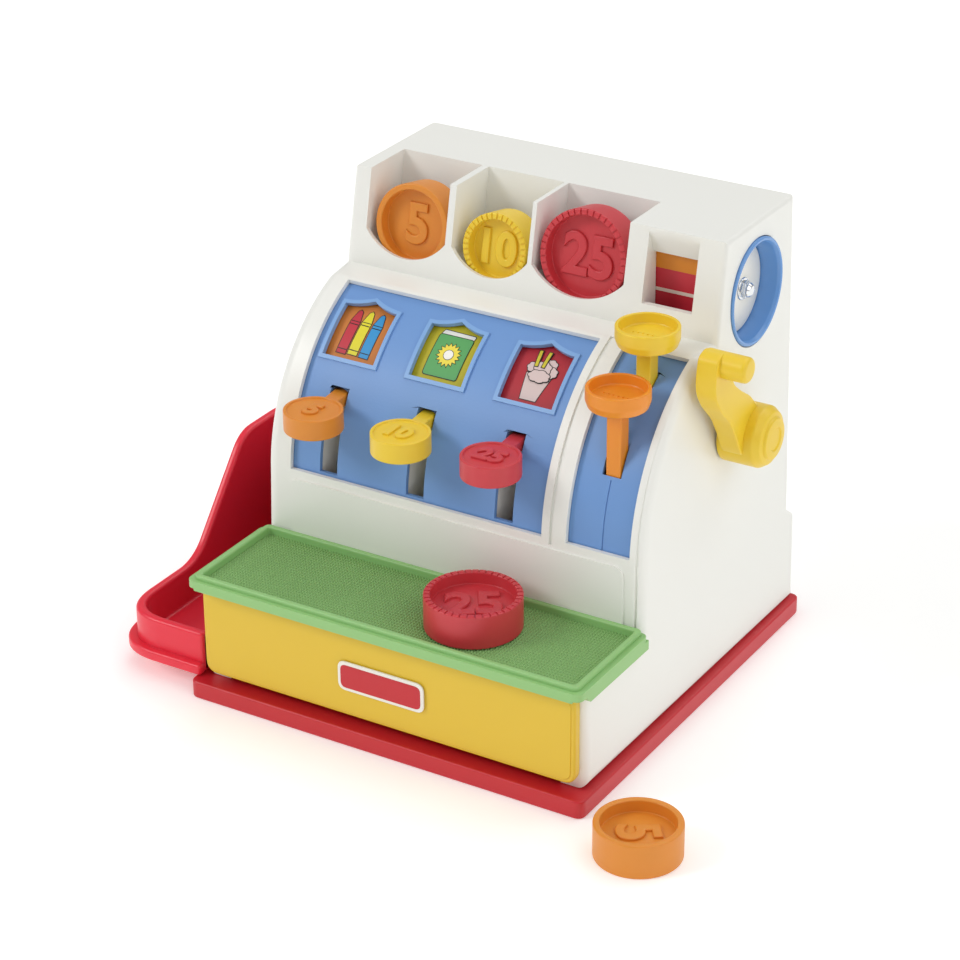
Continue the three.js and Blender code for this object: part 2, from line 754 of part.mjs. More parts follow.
// ---------- crank ----------
function crankHandle() {
  const arm = alongX(
    [
      [-7.5, 198.5],
      [-9.5, 189],
      [-9, 180],
      [-2.5, 170.5],
      [8, 160],
      [15, 149],
      [CRANK.y - 11, CRANK.z - 11],
      [CRANK.y + 14, CRANK.z + 7],
      [38, 157.4],
      [30, 166],
      [20, 172.5],
      [11, 179.5],
      [7.6, 187],
      [7, 195],
      [2, 200.6],
      [-3, 200.6],
    ],
    [113.5, 124.5],
  );
  const hub = turned(
    [
      [0, 109.9],
      [CRANK.hub, 109.9],
      [CRANK.hub, 129],
      [14.6, 132.4],
      [11, 134.6],
      [0, 135.2],
    ],
    28,
  )
    .rotateY(Math.PI / 2)
    .translate(0, CRANK.y, CRANK.z);
  const peg = turned(
    [
      [0, 113.5],
      [CRANK.peg, 113.5],
      [CRANK.peg, 135.4],
      [5.6, 137.2],
      [0, 137.8],
    ],
    20,
  )
    .rotateY(Math.PI / 2)
    .translate(0, CRANK.pegY, CRANK.pegZ);
  return cut(join(hub, arm, peg), rodX(CRANK.shaft + 0.3, [105, 125], CRANK.y, CRANK.z, 16));
}

// ---------- coins ----------
// A coin is a drum with a recess in each face. It stands on Z = 0 with its axis upright.
function coin(radius) {
  const inside = radius - COIN.rim;
  return turned(
    [
      [0, COIN.recess],
      [inside, COIN.recess],
      [inside, 0],
      [radius, 0],
      [radius, COIN.thick],
      [inside, COIN.thick],
      [inside, COIN.thick - COIN.recess],
      [0, COIN.thick - COIN.recess],
    ],
    28,
  );
}

const COIN_SETBACK = 3.2; // how far a coin's face stands behind the front of its pocket

function pocketCoin(pocket) {
  return tipped(
    coin(pocket.coin)
      .rotateX(Math.PI / 2)
      .translate(pocket.coinX, COIN_SETBACK + COIN.thick, POCKET.floor + GAP + pocket.coin),
  );
}

// ---------- the part ----------
const WHITE = { color: 0xebece6, roughness: 0.35 };
const RED = { color: 0xc8323c, roughness: 0.35 };
const YELLOW = { color: 0xebcd4b, roughness: 0.35 };
const ORANGE = { color: 0xeb9632, roughness: 0.35 };
const BLUE = { color: 0x739bd2, roughness: 0.45 };
const BELL_BLUE = { color: 0x4673b4, roughness: 0.3 };
const GREEN = { color: 0x8cc373, roughness: 0.45 };
const COIN_RED = { color: 0xc33c41, roughness: 0.4 };
const GREY = { color: 0x9a9c9e, roughness: 0.5 };
const STEEL = { color: 0xb8bcc0, roughness: 0.25, metalness: 1 };
const CHROME = { color: 0xdfe2e4, roughness: 0.12, metalness: 1 };
const PAPER = { color: 0xd28a50, roughness: 0.6 };

const register = new THREE.Group();

function add(name, piece, finish) {
  const geometry = piece.isBufferGeometry ? piece : geometryOf(piece);
  const mesh = new THREE.Mesh(geometry, new THREE.MeshStandardMaterial(finish));
  mesh.name = name;
  register.add(mesh);
  return mesh;
}

add("base", base(), RED);
add("housing", housing(), WHITE);
add("coin_tray", coinTray(), RED);
add("counter_top", counterTop(), GREEN);
add("key_panel", keyPanel(), BLUE);
add("lever_panel", leverPanel(), BLUE);
["crayons", "book", "milkshake"].forEach((name, i) => add(`picture_${name}`, pictureCard(WINDOW_XS[i]), PAPER));
SCREW_POINTS.forEach(([place, x, y]) => add(`case_screw_${place}`, caseScrew(x, y), STEEL));

add("mechanism_plate", mechanismPlate(), GREY);
add("key_guide", keyGuide(), GREY);
add("key_walls", keyWalls(), WHITE);
add("key_shaft", rodX(3, [-104, 104], DRUM.y, DRUM.z), STEEL);
add("coin_chute", coinChute(), GREY);
POCKETS.forEach(({ value }, i) => add(`key_spring_${value}`, keySpring(KEY_XS[i]), STEEL));
Object.entries(PLUNGERS).forEach(([name, { y }]) => add(`plunger_spring_${name}`, plungerSpring(y), STEEL));

const keyFinishes = [ORANGE, YELLOW, COIN_RED];
POCKETS.forEach(({ value }, i) => add(`key_${value}`, coinKey(KEY_XS[i]), keyFinishes[i]));
add("function_key_total", plunger(PLUNGERS.total), ORANGE);
add("function_key_sale", plunger(PLUNGERS.sale), YELLOW);

add("drawer_box", drawerBox(), YELLOW);
add("drawer_front", drawerFront(), YELLOW);
add("drawer_badge", drawerBadge(), RED);
const DRAWER_SPRING_LENGTH = 15.4;
add(
  "drawer_spring",
  coil(5, 0.8, 5, DRAWER_SPRING_LENGTH)
    .rotateX(-Math.PI / 2)
    .translate(0, DRAWER.backY + 1.4, 34),
  STEEL,
);
add("drawer_latch", drawerLatch(), GREY);
add("latch_pin", rodX(2, [PLATE_X[1] + GAP, 75.5], 20, 75, 16), STEEL);

add("crank_handle", crankHandle(), YELLOW);
add("crank_shaft", rodX(CRANK.shaft, [53, 124.6], CRANK.y, CRANK.z), STEEL);
add("bell_cam", bellCam(), GREY);

add("bell_ring", bellRing(), BELL_BLUE);
add("bell_dome", bellDome(), CHROME);
add("bell_nut", bellNut(), CHROME);
add("bell_post", rodX(BELL.post, [PLATE_X[1] + GAP, BELL_APEX], BELL.y, BELL.z, 16), STEEL);
add("bell_striker", bellStriker(), GREY);
add("striker_pin", rodX(1.8, [PLATE_X[1] + GAP, 91], BELL.y, 163, 16), STEEL);
add("sign_flap", signFlap(), RED);
add("sign_pin", rodX(SIGN_FLAP.pin, [PLATE_X[1] + GAP, 95], SIGN_FLAP.pinY, SIGN_FLAP.pinZ, 16), STEEL);

const coinFinishes = [ORANGE, YELLOW, COIN_RED];
POCKETS.forEach((pocket, i) => add(`coin_${pocket.value}`, pocketCoin(pocket), coinFinishes[i]));
const [five, , twentyFive] = POCKETS.map(({ coin: radius }) => radius);
add("coin_25_counter", coin(twentyFive).translate(35.5, -86.5, COUNTER.z + 2.5 + GAP), COIN_RED);
add("coin_5_floor", coin(five).translate(151.2, -129.8, 0), ORANGE);

export default register;
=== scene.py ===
"""A toy cash register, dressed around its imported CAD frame.

Shapes below are in millimetres in the frame's own axes: origin under the middle of the base,
+X right, +Y back, +Z up. Objects are in metres.
"""

import math

import bmesh
import bpy
from mathutils import Matrix, Vector


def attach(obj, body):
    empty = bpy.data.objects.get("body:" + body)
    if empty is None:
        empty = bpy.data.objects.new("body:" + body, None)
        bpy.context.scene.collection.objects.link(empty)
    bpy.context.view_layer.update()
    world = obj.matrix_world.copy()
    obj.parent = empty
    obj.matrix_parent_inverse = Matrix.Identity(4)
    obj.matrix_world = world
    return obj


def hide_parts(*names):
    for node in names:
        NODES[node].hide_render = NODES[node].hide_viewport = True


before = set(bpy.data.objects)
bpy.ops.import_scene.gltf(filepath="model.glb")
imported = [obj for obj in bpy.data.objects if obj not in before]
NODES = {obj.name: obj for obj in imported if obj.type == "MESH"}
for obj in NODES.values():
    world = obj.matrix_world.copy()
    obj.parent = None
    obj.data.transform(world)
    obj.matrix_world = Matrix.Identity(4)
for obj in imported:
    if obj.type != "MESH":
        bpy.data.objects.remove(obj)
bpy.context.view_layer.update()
MM = 0.001

# ---------- dimensions shared with the CAD ----------
WALL = 2.6
BASE_TOP = 9.8
FOOT_Z, TOP_Z = 10.1, 241.3
FOOT_HALF, TOP_HALF = 111.2, 107.0
DRUM_Y, DRUM_Z, DRUM_R = 43.0, 102.5, 96.0
PANEL_R, PANEL_THICK = 93.1, 2.3
PANEL_LOW, PANEL_HIGH = 2.7, 66.5
KEY_PANEL_X = (-93.7, 54.0)
LEVER_PANEL_X = (67.6, 102.8)
PANEL_EDGE = 3.0
SHELF_FRONT_Y, SHELF_BACK_Y, SHELF_Z = -108.0, -53.0, 65.6
BOX_FRONT = (24.0, 191.5)
LEAN = math.atan2(10.0, 49.8)
CROWN_Y = (34.0, 107.8)
BACK_STEP_HIGH, BACK_STEP_LOW = (109.3, 64.5), (117.2, 58.9)
DRAWER_OPENING = {"x": (-97, 97), "y": (-112, -103), "z": (0, 62.5)}
COIN_EXIT = {"x": (-120, -103), "y": (-7, 50), "z": (61, 84)}
POCKET_LIP, POCKET_FLOOR, POCKET_DEPTH, POCKET_SAGITTA = 7.3, 2.9, 31.0, 12.0
POCKETS = [
    {"value": "5", "x": -73.3, "half": 23.8, "coin": 21.6, "coin_x": -72.2},
    {"value": "10", "x": -23.4, "half": 22.3, "coin": 18.6, "coin_x": -22.6},
    {"value": "25", "x": 27.6, "half": 26.3, "coin": 24.5, "coin_x": 28.0},
]
KEY_XS = (-72.4, -20.8, 30.8)
WINDOW_XS = (-73.0, -21.4, 30.3)
FUNCTION_KEY_X, TOTAL_KEY_Y, SALE_KEY_Y = 86.5, -36.3, -7.5
FUNCTION_SLOT_X, FUNCTION_SLOT_HALF = (80.9, 91.2), 4.6
SIGN_WINDOW_X, SIGN_WELL_BACK = (64.7, 92.5), 42.5
SIGN_SILL, SIGN_HEAD, SIGN_WELL_FLOOR = 203.5, 227.0, 187.9
SIGN_FLAP_X, SIGN_PIN_Y, SIGN_PIN_Z = (62.9, 93.8), 45, 192
BELL_Y, BELL_Z, BELL_HOLE = 66.5, 204.2, 28.3
CRANK_Y, CRANK_Z, CRANK_HOLE = 38.0, 141.5, 6.6


# ---------- colours ----------
def linear(hex_colour):
    """A display colour such as "c8323c" as linear red, green and blue."""
    parts = [int(hex_colour[i : i + 2], 16) / 255 for i in (0, 2, 4)]
    return [p / 12.92 if p <= 0.04045 else ((p + 0.055) / 1.055) ** 2.4 for p in parts]


def plastic(name, hex_colour, roughness=0.34, grain=0.04, scatter=0.0, metallic=0.0):
    """Moulded plastic or metal, with a fine grain and a faint unevenness in the gloss."""
    material = bpy.data.materials.new(name)
    material.use_nodes = True
    nodes, links = material.node_tree.nodes, material.node_tree.links
    shader = nodes["Principled BSDF"]
    shader.inputs["Base Color"].default_value = (*linear(hex_colour), 1)
    shader.inputs["Metallic"].default_value = metallic
    shader.inputs["Subsurface Weight"].default_value = scatter
    shader.inputs["Subsurface Scale"].default_value = 0.003
    place = nodes.new("ShaderNodeTexCoord")
    cloud = nodes.new("ShaderNodeTexNoise")
    cloud.inputs["Scale"].default_value = 30
    cloud.inputs["Detail"].default_value = 3
    spread = nodes.new("ShaderNodeMapRange")
    spread.inputs["To Min"].default_value = roughness - 0.05
    spread.inputs["To Max"].default_value = roughness + 0.05
    fine = nodes.new("ShaderNodeTexNoise")
    fine.inputs["Scale"].default_value = 900
    fine.inputs["Detail"].default_value = 2
    bump = nodes.new("ShaderNodeBump")
    bump.inputs["Strength"].default_value = grain
    bump.inputs["Distance"].default_value = 0.0004
    links.new(place.outputs["Object"], cloud.inputs["Vector"])
    links.new(place.outputs["Object"], fine.inputs["Vector"])
    links.new(cloud.outputs["Fac"], spread.inputs["Value"])
    links.new(spread.outputs["Result"], shader.inputs["Roughness"])
    links.new(fine.outputs["Fac"], bump.inputs["Height"])
    links.new(bump.outputs["Normal"], shader.inputs["Normal"])
    return material


WHITE = plastic("white", "eeeee8", 0.36)
RED = plastic("red", "c5202c", 0.36, scatter=0.05)
YELLOW = plastic("yellow", "ecc932", 0.36, scatter=0.05)
DRAWER_YELLOW = plastic("drawer_yellow", "e2bd33", 0.4)
ORANGE = plastic("orange", "ea8f24", 0.36, scatter=0.08)
COIN_ORANGE = plastic("coin_orange", "dd8a2c", 0.42, scatter=0.08)
COIN_RED = plastic("coin_red", "cb3a42", 0.38, scatter=0.05)
BLUE = plastic("blue", "6d97d0", 0.44, grain=0.1)
BORDER_BLUE = plastic("border_blue", "7fa9dc", 0.4)
BELL_BLUE = plastic("bell_blue", "6a9bd8", 0.26)
GREEN = plastic("green", "93c37b", 0.42, scatter=0.05)
MAT_GREEN = plastic("mat_green", "84b069", 0.5)
GREY = plastic("grey", "9a9c9e", 0.5)
STEEL = plastic("steel", "b8bcc0", 0.28, grain=0.02, metallic=1.0)
CHROME = plastic("chrome", "e6e8ea", 0.16, grain=0.0, metallic=1.0)
ZINC = plastic("zinc", "efece2", 0.34, grain=0.08, metallic=0.15)
SIGN_RED = plastic("sign_red", "c9283a", 0.45)
TRAY_RED = plastic("tray_red", "e8283e", 0.34, scatter=0.2)
INK = plastic("ink", "1c1712", 0.5)


# ---------- building shapes ----------
WELD_DISTANCE = 2e-6
FLAT_DEGREES = 0.4
GRID_START = 0.00013
STRAIGHT_DEGREES = 176
FONT_SIZE_TO_HEIGHT = 1.38


def new_object(name, bm, material=None):
    """A mesh object from a bmesh in millimetres, with its faces turned outwards."""
    bmesh.ops.remove_doubles(bm, verts=bm.verts, dist=1e-4)
    bmesh.ops.recalc_face_normals(bm, faces=bm.faces)
    mesh = bpy.data.meshes.new(name)
    bm.to_mesh(mesh)
    bm.free()
    mesh.transform(Matrix.Scale(MM, 4))
    obj = bpy.data.objects.new(name, mesh)
    bpy.context.scene.collection.objects.link(obj)
    if material:
        mesh.materials.append(material)
    return obj


def bake(obj):
    """Makes the object's modifiers part of its mesh."""
    graph = bpy.context.evaluated_depsgraph_get()
    mesh = bpy.data.meshes.new_from_object(obj.evaluated_get(graph), depsgraph=graph)
    old = obj.data
    obj.modifiers.clear()
    obj.data = mesh
    bpy.data.meshes.remove(old)
    return obj


def combine(obj, operation, *tools):
    """Cuts the tools from the object, or joins them to it, and removes them."""
    for tool in tools:
        step = obj.modifiers.new("combine", "BOOLEAN")
        step.operation = operation
        step.object = tool
        step.solver = "EXACT"
    bake(obj)
    for tool in tools:
        bpy.data.objects.remove(tool)
    return obj


def round_edges(obj, width, segments=3, angle=35):
    """Rounds the object's sharp edges over for good."""
    bm = bmesh.new()
    bm.from_mesh(obj.data)
    bmesh.ops.remove_doubles(bm, verts=bm.verts, dist=WELD_DISTANCE)
    flat = math.radians(FLAT_DEGREES)
    bmesh.ops.dissolve_limit(bm, angle_limit=flat, verts=bm.verts, edges=bm.edges)
    bm.to_mesh(obj.data)
    bm.free()
    step = obj.modifiers.new("round", "BEVEL")
    step.width = width * MM
    step.segments = segments
    step.limit_method = "ANGLE"
    step.angle_limit = math.radians(angle)
    return bake(obj)


def grid_cut(obj, pitch):
    """Cuts large faces into cells, so that shading doesn't stretch over long thin ones."""
    bm = bmesh.new()
    bm.from_mesh(obj.data)
    for axis in range(3):
        low = min(v.co[axis] for v in bm.verts)
        high = max(v.co[axis] for v in bm.verts)
        normal = Vector([1.0 if i == axis else 0.0 for i in range(3)])
        for k in range(1, int((high - low) / (pitch * MM)) + 1):
            geometry = bm.verts[:] + bm.edges[:] + bm.faces[:]
            place = normal * (low + k * pitch * MM + GRID_START)
            bmesh.ops.bisect_plane(bm, geom=geometry, dist=1e-7, plane_co=place, plane_no=normal)
    bm.to_mesh(obj.data)
    bm.free()
    return obj


def smooth(obj, angle=38):
    """Smooth shading, apart from edges sharper than the angle, with flat faces kept flat."""
    obj.data.shade_smooth()
    obj.data.set_sharp_from_angle(angle=math.radians(angle))
    step = obj.modifiers.new("flat_faces", "WEIGHTED_NORMAL")
    step.keep_sharp = True
    return obj


PLACES = {
    "X": lambda a, b, c: (c, a, b),
    "Y": lambda a, b, c: (a, c, b),
    "Z": lambda a, b, c: (a, b, c),
}


def prism(name, outline, axis, low, high, material=None):
    """An outline pushed along an axis. It is (y, z) for X, (x, z) for Y and (x, y) for Z."""
    place = PLACES[axis]
    bm = bmesh.new()
    ends = [[bm.verts.new(place(a, b, c)) for a, b in outline] for c in (low, high)]
    for end in ends:
        bm.faces.new(end)
    count = len(outline)
    for i in range(count):
        j = (i + 1) % count
        bm.faces.new([ends[0][i], ends[0][j], ends[1][j], ends[1][i]])
    return new_object(name, bm, material)


def block(name, xs, ys, zs, material=None):
    corners = [(xs[0], ys[0]), (xs[1], ys[0]), (xs[1], ys[1]), (xs[0], ys[1])]
    return prism(name, corners, "Z", zs[0], zs[1], material)


def soften(points, radius, steps=4, closed=True):
    """The same outline with its corners rounded. radius is one number, or one for each corner."""
    out = []
    count = len(points)
    for i, point in enumerate(points):
        r = radius[i] if isinstance(radius, (list, tuple)) else radius
        if r == 0 or (not closed and i in (0, count - 1)):
            out.append(tuple(point))
            continue
        corner = Vector(point)
        before = Vector(points[i - 1]) - corner
        after = Vector(points[(i + 1) % count]) - corner
        angle = before.angle(after)
        if angle > math.radians(STRAIGHT_DEGREES):
            out.append(tuple(point))
            continue
        reach = min(r / math.tan(angle / 2), before.length * 0.49, after.length * 0.49)
        start = corner + before.normalized() * reach
        end = corner + after.normalized() * reach
        for k in range(steps + 1):
            t = k / steps
            out.append(tuple(start * (1 - t) ** 2 + corner * 2 * t * (1 - t) + end * t * t))
    return out


def rectangle(xs, ys, radius=0.0, steps=6):
    """A rectangle with round corners. radius is one number, or one for each corner."""
    corners = [(xs[0], ys[0]), (xs[1], ys[0]), (xs[1], ys[1]), (xs[0], ys[1])]
    return soften(corners, radius, steps)


def lathe(name, profile, centre, axis="Z", segments=72, material=None):
    """A (radius, height) profile turned about an axis through centre."""
    bm = bmesh.new()
    rings = []
    for radius, height in profile:
        ring = []
        for s in range(segments):
            a = 2 * math.pi * s / segments
            x, y = radius * math.cos(a), radius * math.sin(a)
            p = {"Z": (x, y, height), "X": (height, x, y), "Y": (y, height, x)}[axis]
            ring.append(bm.verts.new([c + d for c, d in zip(centre, p)]))
        rings.append(ring)
    closed = profile[0] == profile[-1]
    for a, b in zip(rings, rings[1:]):
        for s in range(segments):
            t = (s + 1) % segments
            bm.faces.new([a[s], a[t], b[t], b[s]])
    if not closed:
        for ring, (radius, _) in ((rings[0], profile[0]), (rings[-1], profile[-1])):
            if radius > 0:
                bm.faces.new(ring)
    return new_object(name, bm, material)


def tube(name, radii, heights, centre, segments=40):
    """A round bar along X with a hole through it."""
    inner, outer = radii
    low, high = heights
    profile = [(inner, low), (outer, low), (outer, high), (inner, high), (inner, low)]
    return lathe(name, profile, centre, "X", segments)


def merged(name, material, *objects):
    """One object from several meshes, without cutting them into each other."""
    bm = bmesh.new()
    for obj in objects:
        part = obj.data.copy()
        part.transform(obj.matrix_world)
        bm.from_mesh(part)
        bpy.data.meshes.remove(part)
        bpy.data.objects.remove(obj)
    mesh = bpy.data.meshes.new(name)
    bm.to_mesh(mesh)
    bm.free()
    mesh.materials.clear()
    mesh.materials.append(material)
    obj = bpy.data.objects.new(name, mesh)
    bpy.context.scene.collection.objects.link(obj)
    return obj


def moved(obj, matrix):
    obj.data.transform(matrix)
    return obj


def shift(x, y, z):
    return Matrix.Translation((x * MM, y * MM, z * MM))


def digits(name, text, height, relief, matrix, embolden=0.5):
    """A raised number, lying on the plane z = 0 of the matrix and centred on it."""
    curve = bpy.data.curves.new(name, "FONT")
    curve.body = text
    curve.size = height * MM * FONT_SIZE_TO_HEIGHT
    curve.align_x = "CENTER"
    curve.align_y = "CENTER"
    curve.extrude = relief * MM * 0.5
    curve.bevel_depth = relief * MM * 0.4
    curve.bevel_resolution = 2
    curve.offset = embolden * MM * 0.5
    source = bpy.data.objects.new(name, curve)
    graph = bpy.context.evaluated_depsgraph_get()
    mesh = bpy.data.meshes.new_from_object(source.evaluated_get(graph), depsgraph=graph)
    bpy.data.objects.remove(source)
    low = [min(v.co[i] for v in mesh.vertices) for i in range(2)]
    high = [max(v.co[i] for v in mesh.vertices) for i in range(2)]
    mesh.transform(Matrix.Translation((-(low[0] + high[0]) / 2, -(low[1] + high[1]) / 2, 0)))
    mesh.transform(matrix)
    obj = bpy.data.objects.new(name, mesh)
    bpy.context.scene.collection.objects.link(obj)
    return obj


def arc(radius, low, high, steps):
    """Points about the key shaft, at angles above the forward horizontal, as (y, z)."""
    angles = [math.radians(low + (high - low) * i / steps) for i in range(steps + 1)]
    return [(DRUM_Y - radius * math.cos(a), DRUM_Z + radius * math.sin(a)) for a in angles]


def strip(name, inner, outer, low, high, xs, steps=64, material=None):
    """A curved strip about the key shaft."""
    outline = arc(outer, low, high, steps) + arc(inner, high, low, steps)
    return prism(name, outline, "X", xs[0], xs[1], material)


def corner_steps(outline, least):
    """For each corner, the step that moves both of its sides inwards by one."""
    points = [Vector(point[:2]) for point in outline]
    following = points[1:] + points[:1]
    area = sum(here.x * ahead.y - ahead.x * here.y for here, ahead in zip(points, following))
    turn = 1 if area > 0 else -1
    steps = []
    for i, (here, ahead) in enumerate(zip(points, following)):
        a = (here - points[i - 1]).normalized()
        b = (ahead - here).normalized()
        na = Vector((-a.y, a.x)) * turn
        nb = Vector((-b.y, b.x)) * turn
        steps.append((na + nb) / max(least, 1 + na.dot(nb)))
    return steps


# ---------- housing ----------
DRAFT = (1 - TOP_HALF / FOOT_HALF) / (TOP_Z - BASE_TOP)
APRON, APRON_Y = rectangle((-94, 100), (60, 102.2), (0, 0, 6, 6)), (-53.9, -50)
THROUGH_DRUM = (80, 100)
POCKET_OPEN = 58
SIGN_HEAD_TOP = 239.2


def half_at(z):
    """Half the housing's width at a height. The side walls lean in a little."""
    return FOOT_HALF * (1 - DRAFT * (z - BASE_TOP))


def housing_outline(inset, foot):
    """The housing's side section as [(y, z, side edge radius)]."""
    radius = DRUM_R - inset
    ledge = BOX_FRONT[1] - inset
    top = math.degrees(math.asin((ledge - DRUM_Z) / radius))
    points = [
        (SHELF_FRONT_Y + inset, foot, 5),
        (SHELF_FRONT_Y + inset, SHELF_Z - inset, 5),
        (SHELF_BACK_Y + inset, SHELF_Z - inset, 6),
    ]
    points += [(y, z, 7.5) for y, z in arc(radius, 0, top, 64)]
    points += [
        (BOX_FRONT[0] + inset, ledge, 3.5),
        (CROWN_Y[0] + inset, TOP_Z - inset, 2.4),
        (CROWN_Y[1] - inset, TOP_Z - inset, 2.4),
        (BACK_STEP_HIGH[0] - inset, BACK_STEP_HIGH[1], 2.4),
        (BACK_STEP_LOW[0] - inset, BACK_STEP_LOW[1], 2.4),
        (BACK_STEP_LOW[0] - inset, foot, 2.4),
    ]
    return points


def slab(name, outline, round_over=True, inset_sides=0.0, steps=7):
    """A side section pushed out to both walls. Each point's own radius rounds the side edges."""
    count = len(outline)
    inward = corner_steps(outline, 0.4)
    bm = bmesh.new()
    rings = []
    turns = range(steps + 1) if round_over else range(steps, steps + 1)
    sides = [(1, k) for k in turns] + [(-1, k) for k in reversed(turns)]
    for side, k in sides:
        a = math.pi / 2 * k / steps
        ring = []
        for (y, z, radius), n in zip(outline, inward):
            r = radius if round_over else 0.0
            drop = r * (1 - math.sin(a))
            height = z + n.y * drop
            x = half_at(height) - inset_sides - r * (1 - math.cos(a))
            ring.append(bm.verts.new((side * x, y + n.x * drop, height)))
        rings.append(ring)
    for p, q in zip(rings, rings[1:]):
        for i in range(count):
            j = (i + 1) % count
            bm.faces.new([p[i], p[j], q[j], q[i]])
    bm.faces.new(rings[0])
    bm.faces.new(rings[-1])
    return new_object(name, bm)


def tipped(obj):
    """Lays a shape drawn square to the upright box front onto the front's lean."""
    return moved(obj, shift(0, *BOX_FRONT) @ Matrix.Rotation(-LEAN, 4, "X"))


def pocket_outline(pocket, floor, grow):
    """A pocket's front outline: a round floor between upright sides, open at the top."""
    half = pocket["half"] + grow
    radius = (pocket["half"] ** 2 + POCKET_SAGITTA**2) / (2 * POCKET_SAGITTA) + grow
    reach = math.asin(half / radius)
    centre = floor - grow + radius
    points = []
    for i in range(29):
        a = -reach + 2 * reach * i / 28
        points.append((pocket["x"] + radius * math.sin(a), centre - radius * math.cos(a)))
    return points + [(pocket["x"] + half, POCKET_OPEN), (pocket["x"] - half, POCKET_OPEN)]


def pocket_shape(name, pocket, floor, grow, low, high):
    """A pocket's outline as a solid on the leaning box front, from one depth to another."""
    return tipped(prism(name, pocket_outline(pocket, floor, grow), "Y", low, high))


def housing():
    body = slab("housing_shell", housing_outline(0, FOOT_Z))
    combine(body, "UNION", prism("apron", APRON, "Y", *APRON_Y))
    combine(
        body,
        "DIFFERENCE",
        strip("cut", *THROUGH_DRUM, PANEL_LOW, PANEL_HIGH, KEY_PANEL_X),
        strip("cut", *THROUGH_DRUM, PANEL_LOW, PANEL_HIGH, LEVER_PANEL_X),
    )
    round_edges(body, 1.7, 3)

    hollow = slab("hollow", housing_outline(WALL, 0), round_over=False, inset_sides=WALL)
    pocket_back = POCKET_DEPTH + WALL
    walls = [pocket_shape("wall", p, POCKET_FLOOR, WALL, -1, pocket_back) for p in POCKETS]
    walls.append(block("wall", (62.1, 95.1), (24, 41.1), (188.9, 243)))
    combine(hollow, "DIFFERENCE", *walls)
    cuts = [hollow]
    cuts += [pocket_shape("cut", p, POCKET_FLOOR, 0, WALL, POCKET_DEPTH) for p in POCKETS]
    cuts += [pocket_shape("cut", p, POCKET_LIP, 0, -2, WALL + 1) for p in POCKETS]
    head = [
        (20, SIGN_HEAD - 1),
        (38.5, SIGN_HEAD - 1),
        (38.5, SIGN_HEAD),
        (33.5, SIGN_HEAD_TOP),
        (20, SIGN_HEAD_TOP),
    ]
    cuts += [
        block("cut", SIGN_WINDOW_X, (20, SIGN_WELL_BACK), (SIGN_SILL, SIGN_HEAD)),
        block("cut", SIGN_WINDOW_X, (29.5, SIGN_WELL_BACK), (SIGN_WELL_FLOOR, SIGN_SILL + 1)),
        prism("cut", head, "X", *SIGN_WINDOW_X),
        block("cut", DRAWER_OPENING["x"], DRAWER_OPENING["y"], DRAWER_OPENING["z"]),
        block("cut", COIN_EXIT["x"], COIN_EXIT["y"], COIN_EXIT["z"]),
        lathe("cut", [(BELL_HOLE, 98), (BELL_HOLE, 115)], (0, BELL_Y, BELL_Z), "X", 96),
        lathe("cut", [(CRANK_HOLE, 98), (CRANK_HOLE, 115)], (0, CRANK_Y, CRANK_Z), "X", 32),
    ]
    combine(body, "DIFFERENCE", *cuts)
    round_edges(body, 1.1, 3)

    # Fine moulding lines: between the panels, round the right side, and round the apron.
    outer = rectangle((-95.7, 101.7), (60, 103.9), (0, 0, 7.7, 7.7))
    hoop = outer[1:] + outer[:1] + APRON[:1] + APRON[:0:-1]
    grooves = [
        prism("groove", hoop, "Y", -60, -51.6),
        strip("groove", DRUM_R - 1.0, DRUM_R + 3, 0.9, 68.2, (58.2, 60.0)),
        strip("groove", DRUM_R - 1.9, DRUM_R + 3, 0.9, 67.0, (105.6, 106.9)),
        block("groove", (105.6, 106.9), (-60, -51.4), (66, 105)),
    ]
    combine(body, "DIFFERENCE", *grooves)
    round_edges(body, 0.4, 2, 50)
    grid_cut(body, 9)
    body.data.materials.clear()
    body.data.materials.append(WHITE)
    smooth(body, 42)
    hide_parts("housing")
    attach(body, "register_body")


# ---------- panels, with their picture windows ----------
WINDOW_HALF, WINDOW_LOW, WINDOW_SIDE, WINDOW_PEAK = 15.3, 40.3, 58.8, 61.6
WINDOW_MID = math.radians((WINDOW_LOW + WINDOW_PEAK) / 2)


def window_outline(grow):
    """Straight sides under a head that rises to a point, flat on the tangent at its middle."""

    def rise(degrees):
        return PANEL_R * math.sin(math.radians(degrees) - WINDOW_MID)

    half = WINDOW_HALF + grow
    foot = rise(WINDOW_LOW) - grow
    shoulder = rise(WINDOW_SIDE) + grow
    peak = rise(WINDOW_PEAK) + grow * 1.1
    head = []
    for i in range(25):
        t = i / 12 - 1
        head.append((-t * half, shoulder + (peak - shoulder) * (1 - abs(t)) ** 1.9))
    return [(-half, foot), (half, foot)] + head


def on_window(obj, x):
    """Stands a flat shape on the drum at the window's middle, its z pointing out of the drum."""
    up = Vector((0, math.sin(WINDOW_MID), math.cos(WINDOW_MID)))
    out = Vector((0, -math.cos(WINDOW_MID), math.sin(WINDOW_MID)))
    matrix = Matrix((Vector((1, 0, 0)), up, out)).transposed().to_4x4()
    return moved(obj, shift(x, DRUM_Y, DRUM_Z) @ matrix)


